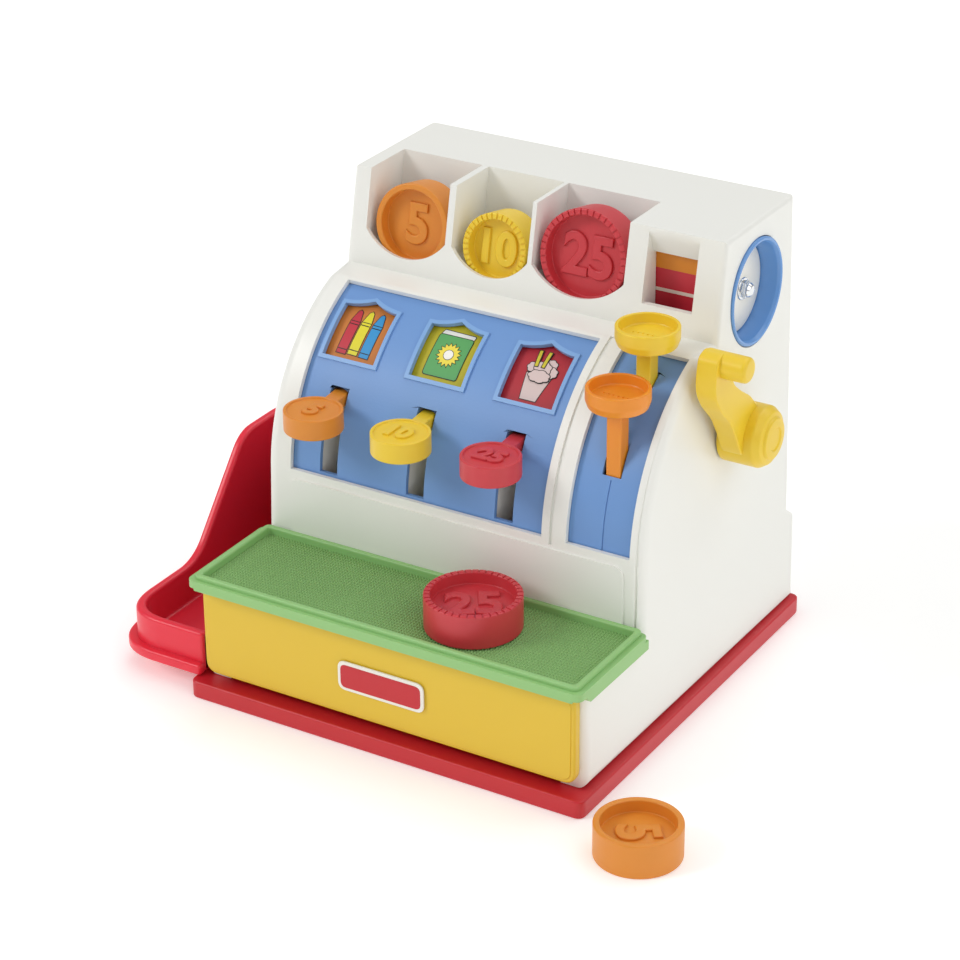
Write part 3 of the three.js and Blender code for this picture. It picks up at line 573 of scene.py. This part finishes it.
def panels():
    inner = PANEL_R - PANEL_THICK
    span = (KEY_PANEL_X[0] - PANEL_EDGE, KEY_PANEL_X[1] + PANEL_EDGE)
    panel = strip("key_panel_face", inner, PANEL_R, -0.5, 68, span, material=BLUE)
    slots = [strip("slot", *THROUGH_DRUM, 3.6, 31.6, (x - 5.25, x + 5.25)) for x in KEY_XS]
    opening = window_outline(0.5)
    windows = [on_window(prism("window", opening, "Z", *THROUGH_DRUM), x) for x in WINDOW_XS]
    combine(panel, "DIFFERENCE", *slots, *windows)
    round_edges(panel, 0.5, 2)
    grid_cut(panel, 6)
    smooth(panel)
    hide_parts("key_panel")
    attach(panel, "register_body")
    for i, x in enumerate(WINDOW_XS):
        piece = f"window_border_{i + 1}"
        border = strip(piece, inner + 0.4, PANEL_R + 1, 36, 66, (x - 20, x + 20))
        ring = on_window(prism("outer", window_outline(2.1), "Z", *THROUGH_DRUM), x)
        combine(border, "INTERSECT", ring)
        combine(border, "DIFFERENCE", on_window(prism("inner", window_outline(0), "Z", 70, 110), x))
        round_edges(border, 0.7, 3)
        border.data.materials.clear()
        border.data.materials.append(BORDER_BLUE)
        smooth(border, 30)
        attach(border, "register_body")

    lever = strip("lever_panel_face", inner, PANEL_R, -0.5, 68, (65, 105.4), material=BLUE)
    slots = []
    for y in (TOTAL_KEY_Y, SALE_KEY_Y):
        span = (y - FUNCTION_SLOT_HALF, y + FUNCTION_SLOT_HALF)
        slots.append(block("slot", FUNCTION_SLOT_X, span, (120, 205)))
    parting = strip("parting", PANEL_R - 0.5, PANEL_R + 1, -1, 24.5, (86.0, 86.5))
    combine(lever, "DIFFERENCE", *slots, parting)
    round_edges(lever, 0.35, 2)
    grid_cut(lever, 6)
    smooth(lever)
    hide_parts("lever_panel")
    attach(lever, "register_body")


# ---------- picture cards ----------
CARD_R = 90.4


def flat_shape(name, outline, layer, x, material):
    """A printed shape on a picture card. Its outline is (across, up) from the window's middle."""
    bm = bmesh.new()
    front = [bm.verts.new((a, b, 0)) for a, b in outline]
    bm.faces.new(front)
    for i in range(-12, 14):
        geometry = bm.verts[:] + bm.edges[:] + bm.faces[:]
        bmesh.ops.bisect_plane(bm, geom=geometry, plane_co=(0, i * 1.25, 0), plane_no=(0, 1, 0))
    bmesh.ops.triangulate(bm, faces=bm.faces)
    solid = bmesh.ops.extrude_face_region(bm, geom=bm.faces[:])
    lifted = [v for v in solid["geom"] if isinstance(v, bmesh.types.BMVert)]
    for v in lifted:
        v.co.z = 1
    low, high = CARD_R - 0.1, CARD_R + 0.05 + 0.06 * layer
    for v in bm.verts:
        a = WINDOW_MID + v.co.y / CARD_R
        r = high if v.co.z > 0.5 else low
        v.co = Vector((x + v.co.x, DRUM_Y - r * math.cos(a), DRUM_Z + r * math.sin(a)))
    shape = new_object(name, bm, material)
    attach(shape, "register_body")
    return shape


def grown(outline, by):
    """The outline moved outwards by a distance."""
    steps = corner_steps(outline, 0.5)
    return [tuple(Vector(point) - step * by) for point, step in zip(outline, steps)]


def turned(outline, degrees, centre=(0, 0)):
    """The outline turned about its origin, which then goes to centre."""
    c, s = math.cos(math.radians(degrees)), math.sin(math.radians(degrees))
    return [(centre[0] + a * c - b * s, centre[1] + a * s + b * c) for a, b in outline]


def circle(cx, cy, radius, steps=28):
    angles = [2 * math.pi * i / steps for i in range(steps)]
    return [(cx + radius * math.cos(a), cy + radius * math.sin(a)) for a in angles]


def scalloped(cx, cy, radius, squash=0.85):
    """A puff of froth: a ring of small bumps."""
    points = []
    for i in range(84):
        a = 2 * math.pi * i / 84
        r = radius * (0.93 + 0.16 * abs(math.sin(3.5 * a)))
        points.append((cx + r * math.cos(a), cy + r * squash * math.sin(a)))
    return points


def inked(name, outline, layer, x, material, line=0.42):
    """A coloured shape with a dark line round it."""
    flat_shape(f"{name}_line", grown(outline, line), layer, x, INK)
    flat_shape(name, outline, layer + 1, x, material)


def card(node, x, paper):
    """A blank picture card, curved behind its window."""
    span = (x - 18.8, x + 18.8)
    backing = strip(f"{node}_card", CARD_R - 1.8, CARD_R, 37.5, 65, span, 40, paper)
    smooth(backing)
    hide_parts(node)
    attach(backing, "register_body")


def pictures():
    x = WINDOW_XS[0]
    card("picture_crayons", x, plastic("paper_orange", "c9772c", 0.55))
    colours = [plastic("crayon_red", "c22a3a", 0.5), plastic("crayon_yellow", "e2d62a", 0.5)]
    colours.append(plastic("crayon_blue", "2f93cf", 0.5))
    crayon = [(-2.7, -13.5), (2.7, -13.5), (2.7, 5), (1.2, 11), (0, 12), (-1.2, 11), (-2.7, 5)]
    for i, (paint, dx, dy) in enumerate(zip(colours, (-7.0, -0.4, 6.4), (0.0, 0.4, 0.0))):
        stem = turned(crayon, -2, (dx, dy))
        inked(f"crayon_{i + 1}", stem, 1, x, paint)
        for j, (low, high) in enumerate(((-11.4, -10.9), (3.0, 3.5), (4.8, 5.2))):
            ring = turned([(-2.6, low), (2.6, low), (2.6, high), (-2.6, high)], -2, (dx, dy))
            flat_shape(f"crayon_{i + 1}_ring_{j + 1}", ring, 3, x, INK)

    x = WINDOW_XS[1]
    card("picture_book", x, plastic("paper_yellow", "b9ac16", 0.55))
    cover = plastic("book_green", "58a45c", 0.5)
    pages = plastic("pages", "e9e7df", 0.5)
    page_edge = soften([(-9.4, 9), (9.2, 9), (10, 12), (-8.2, 12.4)], 0.8)
    cover_outline = soften([(-10.2, -13.5), (9.2, -13.5), (9.8, 9.6), (-9.6, 9.6)], 1.4)
    inked("book_pages", page_edge, 1, x, pages)
    inked("book_cover", cover_outline, 3, x, cover)
    sun = plastic("sun_yellow", "f0dc4a", 0.5)
    petals = []
    for i in range(32):
        r = 6.6 if i % 2 else 4.8
        petals.append((r * math.sin(math.pi * i / 16), -1.2 + r * math.cos(math.pi * i / 16)))
    inked("book_sun", petals, 5, x, sun, 0.35)
    inked("book_sun_middle", circle(0, -1.2, 2.6), 7, x, plastic("sun_white", "f6f3ea", 0.5), 0.3)

    x = WINDOW_XS[2]
    card("picture_milkshake", x, plastic("paper_red", "b11e2c", 0.55))
    cream = plastic("milkshake_cream", "d9c3bf", 0.5)
    straw = plastic("straw_yellow", "cfc02c", 0.5)
    inked("milkshake_glass", [(-5.4, -14), (3.4, -14), (7.2, 0), (-7.0, 0)], 1, x, cream)
    puffs = ((3.6, 6.2, 3.6), (-4.6, 3.4, 3.2), (5.6, 2.2, 3.4), (0.6, 3.4, 4.4))
    for i, (dx, dy, radius) in enumerate(puffs):
        inked(f"milkshake_froth_{i + 1}", scalloped(dx, dy, radius), 3 + 2 * i, x, cream)
    inked("milkshake_foot", scalloped(0.4, -1.0, 5.6, 0.55), 11, x, cream)
    for i, dx in enumerate((-3.4, 0.4)):
        outline = turned([(-0.8, 0), (0.8, 0), (0.8, 9), (-0.8, 9)], 6 - 10 * i, (dx, 4))
        inked(f"straw_{i + 1}", outline, 13, x, straw)


# ---------- base and tray ----------
TRAY_LEFT, TRAY_FRONT, TRAY_BACK = -165, -110.6, 50
TRAY_BOTTOM, TRAY_FLOOR, TRAY_TOP = 10.1, 12.9, 89.5


def base():
    outline = rectangle((-115, 115), (-119.45, 119.45), 5, 8)
    plate = prism("base_plate", outline, "Z", 0, BASE_TOP, RED)
    well = block("cut", (-95, 95), (-104, 109), (3.2, 12))
    combine(plate, "DIFFERENCE", well)
    round_edges(plate, 1.5, 4)
    rails = [block("rail", (x - 2, x + 2), (-103, 107), (3, 12.6)) for x in (-80, 80)]
    for rail in rails:
        round_edges(rail, 0.5, 2)
    holes = []
    for x in (-101.5, 101.5):
        for y in (-97.5, 104):
            holes.append(lathe("cut", [(4.3, -1), (4.3, 3.5)], (x, y, 0), "Z", 32))
            holes.append(lathe("cut", [(2.2, 3), (2.2, 12)], (x, y, 0), "Z", 24))
    combine(plate, "DIFFERENCE", *holes)
    plate = merged("base_plate", RED, plate, *rails)
    smooth(plate)
    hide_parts("base")
    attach(plate, "register_body")


def tray_outline(grow, right=-111.9):
    """The tray seen from above, grown outwards on its three free sides."""
    left, front, back = TRAY_LEFT - grow, TRAY_FRONT - grow, TRAY_BACK + grow
    corners = [(right, front), (right, back), (left, back), (left, front)]
    return soften(corners, [0, 0, (24 + grow) * 0.86, (30 + grow) * 0.86], 20)


def tray():
    body = prism("tray_shell", tray_outline(0), "Z", TRAY_BOTTOM, TRAY_TOP)
    inside = prism("cut", tray_outline(-5, -100), "Z", TRAY_FLOOR, 95)
    ramp = [(-130, 33), (-46.5, 33), (0.5, TRAY_TOP), (80, TRAY_TOP), (80, 100), (-130, 100)]
    above = prism("cut", soften(ramp, [0, 26, 22, 0, 0, 0], 8), "X", -190, -90)
    combine(body, "DIFFERENCE", inside, above)
    round_edges(body, 1.9, 4)
    flange = prism("flange", tray_outline(4), "Z", TRAY_BOTTOM, 16)
    combine(flange, "DIFFERENCE", prism("cut", tray_outline(-1.5, -100), "Z", 5, 20))
    round_edges(flange, 1.4, 4)
    whole = merged("tray_shell", TRAY_RED, body, flange)
    smooth(whole)
    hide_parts("coin_tray")
    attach(whole, "register_body")


# ---------- counter ----------
COUNTER_X, COUNTER_FLANGE, COUNTER_RIM = 1.4, 113.3, 110.4
COUNTER_Y, COUNTER_Z, COUNTER_TOP, MAT_Z = (-121.4, -53.6), 65.9, 72.3, 68.4


def counter():
    left, right = COUNTER_X - COUNTER_FLANGE, COUNTER_X + COUNTER_FLANGE
    front, back = COUNTER_Y
    outline = rectangle((left, right), COUNTER_Y, 4.5)
    flange = prism("counter_shell", outline, "Z", COUNTER_Z, COUNTER_Z + 4)
    drop = [(front, 64.7), (-115, 64.7), (-115, 67), (front, 67)]
    lip = prism("lip", drop, "X", left + 4.5, right - 4.5)
    side = [(back, 62), (back, 67), (-116, 67), (-111, 62)]
    skirts = [prism("skirt", side, "X", left, -110.6), prism("skirt", side, "X", 110.6, right)]
    low, high = (COUNTER_X - COUNTER_RIM, front + 2.3), (COUNTER_X + COUNTER_RIM, back - 0.3)
    rim_outline = rectangle((low[0], high[0]), (low[1], high[1]), 3.5)
    rim = prism("rim", rim_outline, "Z", COUNTER_Z + 3, COUNTER_TOP)
    opening = rectangle((low[0] + 3.1, high[0] - 3.1), (low[1] + 3.1, high[1] - 3.1), 2)
    combine(flange, "UNION", lip, *skirts)
    combine(flange, "DIFFERENCE", prism("cut", opening, "Z", MAT_Z - 1.2, 80))
    round_edges(flange, 1.1, 3)
    combine(rim, "DIFFERENCE", prism("cut", opening, "Z", 60, 80))
    round_edges(rim, 1.1, 4)
    whole = merged("counter_shell", GREEN, flange, rim)
    smooth(whole)
    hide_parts("counter_top")
    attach(whole, "register_body")

    # The mat is ribbed from front to back, and each rib is notched into short bars.
    xs, ys = (low[0] + 2.6, high[0] - 2.6), (low[1] + 2.6, high[1] - 2.6)
    columns, rows = 1040, 230
    rib_pitch, bar_pitch = 1.7, 2.2
    bm = bmesh.new()
    grid = []
    for j in range(rows + 1):
        y = ys[0] + (ys[1] - ys[0]) * j / rows
        line = []
        for i in range(columns + 1):
            x = xs[0] + (xs[1] - xs[0]) * i / columns
            rib = 0.5 + 0.5 * math.cos(2 * math.pi * x / rib_pitch)
            bar = 0.5 + 0.5 * math.cos(2 * math.pi * y / bar_pitch)
            line.append(bm.verts.new((x, y, MAT_Z - 0.75 + rib * (0.25 + 0.75 * bar))))
        grid.append(line)
    for a, b in zip(grid, grid[1:]):
        for i in range(columns):
            bm.faces.new([a[i], a[i + 1], b[i + 1], b[i]])
    mat = new_object("counter_mat", bm, MAT_GREEN)
    mat.data.shade_smooth()
    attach(mat, "register_body")


# ---------- drawer ----------
def drawer():
    front = prism("drawer_face", rectangle((-108, 108), (14.3, 64.3), 7), "Y", -114.0, -108.5)
    round_edges(front, 1.4, 4)
    panel_outline = rectangle((-105.8, 105.8), (16.5, 62.1), 5.5)
    panel = prism("drawer_panel", panel_outline, "Y", -114.5, -110)
    round_edges(panel, 0.45, 3)
    front = merged("drawer_face", DRAWER_YELLOW, front, panel)
    smooth(front)
    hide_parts("drawer_front")
    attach(front, "drawer")

    plate = prism("badge_plate", rectangle((-25.5, 24.5), (29.8, 46.2), 4.5), "Y", -116, -114.8)
    round_edges(plate, 0.5, 3)
    plate.data.materials.append(plastic("badge_white", "efece4", 0.4))
    smooth(plate)
    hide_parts("drawer_badge")
    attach(plate, "drawer")
    inlay_outline = rectangle((-23.7, 22.7), (31.6, 44.4), 3.2)
    inlay = prism("badge_inlay", inlay_outline, "Y", -116.25, -115.5, RED)
    round_edges(inlay, 0.2, 2)
    smooth(inlay)
    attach(inlay, "drawer")

    box = block("drawer_bin", (-93, 93), (-108.2, 90), (13, 56))
    bins = [
        block("cut", (-91, -1), (-106.2, -41), (15, 60)),
        block("cut", (1, 91), (-106.2, -41), (15, 60)),
        block("cut", (-91, 91), (-39, 88), (15, 60)),
    ]
    combine(box, "DIFFERENCE", *bins)
    round_edges(box, 0.7, 3)
    box.data.materials.append(DRAWER_YELLOW)
    smooth(box)
    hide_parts("drawer_box")
    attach(box, "drawer")


# ---------- keys ----------
VALUE_FINISHES = {"5": COIN_ORANGE, "10": YELLOW, "25": COIN_RED}
VALUE_SLOTS = {"5": "orange_plastic", "10": "yellow_plastic", "25": "coin_red_plastic"}
KEY_CAP_Y, KEY_CAP_TOP = -61.5, 149.4
KEY_ARM_HALF, KEY_ARM_RISE, KEY_ARM_REACH, KEY_ARM_DEGREES = 4.15, 4, 88, 29.5


def coin_key(value, x):
    """A hub on the key shaft, an arm out through the slot, and a dished cap with its number."""
    angle = math.radians(KEY_ARM_DEGREES)
    tip = (DRUM_Y - KEY_ARM_REACH * math.cos(angle), DRUM_Z + KEY_ARM_REACH * math.sin(angle))
    across = (KEY_ARM_RISE * math.sin(angle), KEY_ARM_RISE * math.cos(angle))
    arm_outline = [
        (DRUM_Y - across[0], DRUM_Z - across[1]),
        (DRUM_Y + across[0], DRUM_Z + across[1]),
        (tip[0] + across[0], tip[1] + across[1]),
        (KEY_CAP_Y + 13, 148.1),
        (KEY_CAP_Y + 6, 146.5),
        (KEY_CAP_Y + 6, 143.4),
        (tip[0] - across[0], tip[1] - across[1]),
    ]
    arm = prism("arm", arm_outline, "X", x - KEY_ARM_HALF, x + KEY_ARM_HALF)
    round_edges(arm, 0.7, 3)
    hub = tube("hub", (3.4, 7.5), (-KEY_ARM_HALF, KEY_ARM_HALF), (x, DRUM_Y, DRUM_Z))
    profile = soften(
        [(0, 0), (15.2, 0), (15.2, 11), (13.7, 11), (13.3, 10.1), (0, 10.1)],
        [0, 0.9, 0.6, 0.4, 0.25, 0],
        4,
        closed=False,
    )
    cap = lathe("cap", profile, (x, KEY_CAP_Y, KEY_CAP_TOP - 11), "Z", 96)
    number = digits("number", value, 10.8, 1.5, shift(x, KEY_CAP_Y, KEY_CAP_TOP - 0.9), 0.65)
    whole = merged(f"key_{value}_moulding", VALUE_FINISHES[value], arm, hub, cap, number)
    smooth(whole)
    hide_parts(f"key_{value}")
    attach(whole, f"coin_key_{value}")


def function_key(name, y, top, material):
    """A square stem under a dished round cap, with a row of small dots in the dish."""
    x = FUNCTION_KEY_X
    profile = soften(
        [(0, 0), (14.6, 0), (16, 4), (16, 10.5), (14.2, 10.5), (13.4, 5.2), (0, 5.2)],
        [0, 1.6, 3, 0.8, 0.7, 1.0, 0],
        5,
        closed=False,
    )
    cap = lathe("cap", profile, (x, y, top - 10.5), "Z", 96)
    stem = round_edges(block("stem", (x - 4, x + 4), (y - 4, y + 4), (118, top - 8)), 0.6, 3)
    dot = [(0, -0.3), (0.55, -0.3), (0.45, 0.35), (0, 0.45)]
    dots = [lathe("dot", dot, (x + 2.6 * i, y, top - 5.2), "Z", 10) for i in range(-3, 4)]
    whole = merged(f"{name}_moulding", material, cap, stem, *dots)
    smooth(whole)
    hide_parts(f"function_key_{name}")
    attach(whole, f"{name}_key")


# ---------- coins ----------
def coin_shape(name, value, radius, material):
    """A coin lying on z = 0, with a cup and its raised value in each face."""
    thick, rim, recess = 18.0, 3.4, 6.5
    inside = radius - rim
    profile = soften(
        [
            (0, recess),
            (inside, recess),
            (inside, 0),
            (radius, 0),
            (radius, thick),
            (inside, thick),
            (inside, thick - recess),
            (0, thick - recess),
        ],
        [0, 0.5, 0.9, 0.9, 0.9, 0.9, 0.5, 0],
        4,
        closed=False,
    )
    body = lathe("body", profile, (0, 0, 0), "Z", 120)
    cutters = []
    marks = {"5": 0, "10": 36, "25": 40}[value]
    for i in range(marks):
        a = 2 * math.pi * i / marks
        turn = Matrix.Rotation(a, 4, "Z")
        for z in ((thick - 0.6, thick + 1), (-1, 0.6)):
            mark = block("mark", (inside - 0.4, radius + 1), (-0.4, 0.4), z)
            cutters.append(moved(mark, turn))
    if cutters:
        tool = merged("marks", material, *cutters)
        combine(body, "DIFFERENCE", tool)
    size = {"5": 21.0, "10": 17.5, "25": 21.5}[value]
    front = digits("number", value, size, 1.5, shift(0, 0, thick - recess), 0.75)
    flip = shift(0, 0, recess) @ Matrix.Rotation(math.pi, 4, "Y")
    back = digits("number", value, size, 1.5, flip, 0.75)
    whole = merged(name, material, body, front, back)
    smooth(whole)
    return whole


def coins():
    lean = shift(0, *BOX_FRONT) @ Matrix.Rotation(-LEAN, 4, "X")
    for pocket in POCKETS:
        value = pocket["value"]
        place = shift(pocket["coin_x"], 21.2, POCKET_FLOOR + 0.3 + pocket["coin"])
        piece = f"pocket_coin_{value}_piece"
        coin = coin_shape(piece, value, pocket["coin"], VALUE_FINISHES[value])
        moved(coin, lean @ place @ Matrix.Rotation(math.pi / 2, 4, "X"))
        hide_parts(f"coin_{value}")
        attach(coin, f"pocket_coin_{value}")
    loose = [
        ("counter_coin", "25", 24.5, (35.5, -86.5, 68.7), "coin_25_counter", 33),
        ("floor_coin", "5", 21.6, (151.2, -129.8, 0), "coin_5_floor", -54),
    ]
    for body, value, radius, place, node, degrees in loose:
        coin = coin_shape(f"{body}_piece", value, radius, VALUE_FINISHES[value])
        moved(coin, shift(*place) @ Matrix.Rotation(math.radians(degrees), 4, "Z"))
        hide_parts(node)
        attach(coin, body)


# ---------- bell ----------
def bell():
    centre = (0, BELL_Y, BELL_Z)
    ring_profile = soften(
        [
            (23.7, 95.4),
            (27.9, 95.4),
            (27.9, 108.2),
            (27.2, 108.9),
            (26.0, 108.7),
            (25.1, 107),
            (23.7, 96.7),
            (23.7, 95.4),
        ],
        [0, 0.5, 0.5, 0.4, 0.6, 2, 0.4, 0],
        4,
        closed=False,
    )
    ring = lathe("bell_funnel", ring_profile, centre, "X", 120, BELL_BLUE)
    smooth(ring)
    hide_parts("bell_ring")
    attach(ring, "register_body")

    hole, edge = 2.2, 23

    def bulge(r):
        return 97.4 + 1.8 * (1 - (r / edge) ** 2.6)

    radii = [hole + (edge - hole) * i / 26 for i in range(27)]
    outside = [(r, bulge(r) + 1) for r in radii]
    inside = [(r, bulge(r)) for r in reversed(radii)]
    dome = lathe("bell_bowl", outside + inside + outside[:1], centre, "X", 120, ZINC)
    smooth(dome)
    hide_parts("bell_dome")
    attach(dome, "register_body")

    disc = [(2, 100.1), (6, 100.1), (5.6, 100.8), (2, 101.2)]
    washer = lathe("washer", soften(disc, [0, 0.2, 0.2, 0], 3, closed=False), centre, "X", 48)
    nut = lathe("nut", [(0, 100.5), (4.6, 100.5), (4.6, 103), (0, 103)], centre, "X", 6)
    round_edges(nut, 0.4, 3)
    cap = [(0, 102), (3.9, 102), (3.8, 104), (2.6, 105.6), (0, 106.1)]
    crown = lathe("crown", soften(cap, [0, 0, 1.0, 1.2, 0], 5, closed=False), centre, "X", 48)
    whole = merged("bell_acorn_nut", CHROME, washer, nut, crown)
    smooth(whole)
    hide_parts("bell_nut")
    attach(whole, "register_body")


# ---------- crank ----------
def crank():
    outline = [
        (-7.5, 198.5),
        (-9.5, 189),
        (-9, 180),
        (-2.5, 170.5),
        (8, 160),
        (15, 149),
        (24, 132),
        (50, 146),
        (38, 157.4),
        (30, 166),
        (20, 172.5),
        (11, 179.5),
        (7.6, 187),
        (7, 195),
        (2, 200.6),
        (-3, 200.6),
    ]
    curved = outline
    for _ in range(2):
        curved = soften(curved, 30, 4)
    arm = round_edges(prism("arm", curved, "X", 113.5, 124.5), 2.4, 4, 45)
    hub_profile = soften(
        [
            (0, 109.9),
            (16, 109.9),
            (16, 129),
            (13.6, 132.6),
            (11.2, 133.2),
            (10.6, 134.6),
            (6.4, 134.9),
            (5.8, 134.2),
            (0, 134.4),
        ],
        [0, 1, 3, 1.5, 0.5, 1, 0.5, 0.4, 0],
        5,
        closed=False,
    )
    hub = lathe("hub", hub_profile, (0, CRANK_Y, CRANK_Z), "X", 96)
    grip = [(0, 115), (6.7, 115), (6.5, 137.8), (0, 137.8)]
    peg = lathe("peg", soften(grip, [0, 0, 2.4, 0], 6, closed=False), (0, 0.3, 194), "X", 64)
    whole = merged("crank_moulding", YELLOW, arm, hub, peg)
    smooth(whole, 50)
    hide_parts("crank_handle")
    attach(whole, "crank")


# ---------- price sign ----------
def sign():
    flap = block("sign_card", SIGN_FLAP_X, (41.6, 43.4), (SIGN_PIN_Z, 228))
    hub = tube("hub", (1.9, 3.2), SIGN_FLAP_X, (0, SIGN_PIN_Y, SIGN_PIN_Z))
    round_edges(flap, 0.3, 2)
    whole = merged("sign_card", SIGN_RED, flap, hub)
    smooth(whole)
    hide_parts("sign_flap")
    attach(whole, "sign")
    bands = [
        (217.5, 227.6, plastic("sign_orange", "d98417", 0.45)),
        (205.2, 207.0, plastic("sign_cream", "ecdcd0", 0.45)),
    ]
    for i, (low, high, paint) in enumerate(bands):
        band = block(f"sign_band_{i + 1}", (63.2, 93.5), (41.45, 42), (low, high), paint)
        round_edges(band, 0.05, 1)
        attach(band, "sign")


# ---------- CAD pieces that keep their shape ----------
def finish_frame_nodes():
    """Gives every CAD node a finish and softer edges. Most are hidden later by the pieces above."""
    finishes = {
        "key_walls": WHITE,
        "mechanism_plate": GREY,
        "key_guide": GREY,
        "coin_chute": GREY,
        "drawer_latch": GREY,
        "bell_cam": GREY,
        "bell_striker": GREY,
    }
    for name, node in NODES.items():
        node.data.materials.clear()
        node.data.materials.append(finishes.get(name, STEEL))
        edge = node.modifiers.new("edge", "BEVEL")
        edge.width = 0.25 * MM
        edge.segments = 2
        edge.limit_method = "ANGLE"
        edge.angle_limit = math.radians(40)


# ---------- floor, lights and camera ----------
CAMERA_PLACE = (0.6963, -1.16622, 0.78424)
CAMERA_AZIMUTH, CAMERA_ELEVATION, CAMERA_ROLL = 31.3, 26.69, -0.45
CAMERA_LENS = 111.767


def studio():
    bm = bmesh.new()
    bmesh.ops.create_grid(bm, x_segments=1, y_segments=1, size=4000)
    paper = plastic("floor", "f7f7f6", 0.7, grain=0.0)
    shader = paper.node_tree.nodes["Principled BSDF"]
    shader.inputs["Emission Color"].default_value = (1, 1, 1, 1)
    shader.inputs["Emission Strength"].default_value = 0.24
    shader.inputs["Specular IOR Level"].default_value = 0.1
    floor = new_object("floor", bm, paper)

    world = bpy.data.worlds.new("studio")
    bpy.context.scene.world = world
    world.use_nodes = True
    world.node_tree.nodes["Background"].inputs["Color"].default_value = (1, 1, 1, 1)
    world.node_tree.nodes["Background"].inputs["Strength"].default_value = 0.38

    def sun(name, direction, strength, spread):
        light = bpy.data.lights.new(name, "SUN")
        light.energy = strength
        light.angle = math.radians(spread)
        obj = bpy.data.objects.new(name, light)
        obj.rotation_euler = Vector(direction).to_track_quat("-Z", "Y").to_euler()
        bpy.context.scene.collection.objects.link(obj)

    sun("key", (0.62, 0.55, -0.56), 1.1, 22)
    sun("fill", (-1, 0.25, -0.6), 0.82, 60)
    sun("back", (-0.1, -0.5, -0.85), 0.85, 50)

    overhead = bpy.data.lights.new("overhead", "AREA")
    overhead.shape = "RECTANGLE"
    overhead.size, overhead.size_y = 1.0, 0.5
    overhead.energy = 1.2
    softbox = bpy.data.objects.new("overhead", overhead)
    softbox.location = (-0.3, -0.2, 1.3)
    bpy.context.scene.collection.objects.link(softbox)

    bpy.context.scene.view_settings.view_transform = "Standard"


def camera():
    data = bpy.data.cameras.new("camera")
    data.sensor_width = 36
    data.lens = CAMERA_LENS
    obj = bpy.data.objects.new("camera", data)
    azimuth = math.radians(CAMERA_AZIMUTH)
    elevation = math.radians(CAMERA_ELEVATION)
    roll = math.radians(CAMERA_ROLL)
    back = Vector(
        (
            math.sin(azimuth) * math.cos(elevation),
            -math.cos(azimuth) * math.cos(elevation),
            math.sin(elevation),
        )
    )
    right = (-back).cross(Vector((0, 0, 1))).normalized()
    up = right.cross(-back)
    rolled_right = right * math.cos(roll) + up * math.sin(roll)
    rolled_up = up * math.cos(roll) - right * math.sin(roll)
    matrix = Matrix((rolled_right, rolled_up, back)).transposed().to_4x4()
    obj.matrix_world = Matrix.Translation(CAMERA_PLACE) @ matrix
    bpy.context.scene.collection.objects.link(obj)
    bpy.context.scene.camera = obj


finish_frame_nodes()
housing()
panels()
pictures()
base()
tray()
counter()
drawer()
for key_value, key_x in zip(VALUE_SLOTS, KEY_XS):
    coin_key(key_value, key_x)
function_key("total", TOTAL_KEY_Y, 188.8, ORANGE)
function_key("sale", SALE_KEY_Y, 209.7, YELLOW)
coins()
bell()
crank()
sign()
studio()
camera()
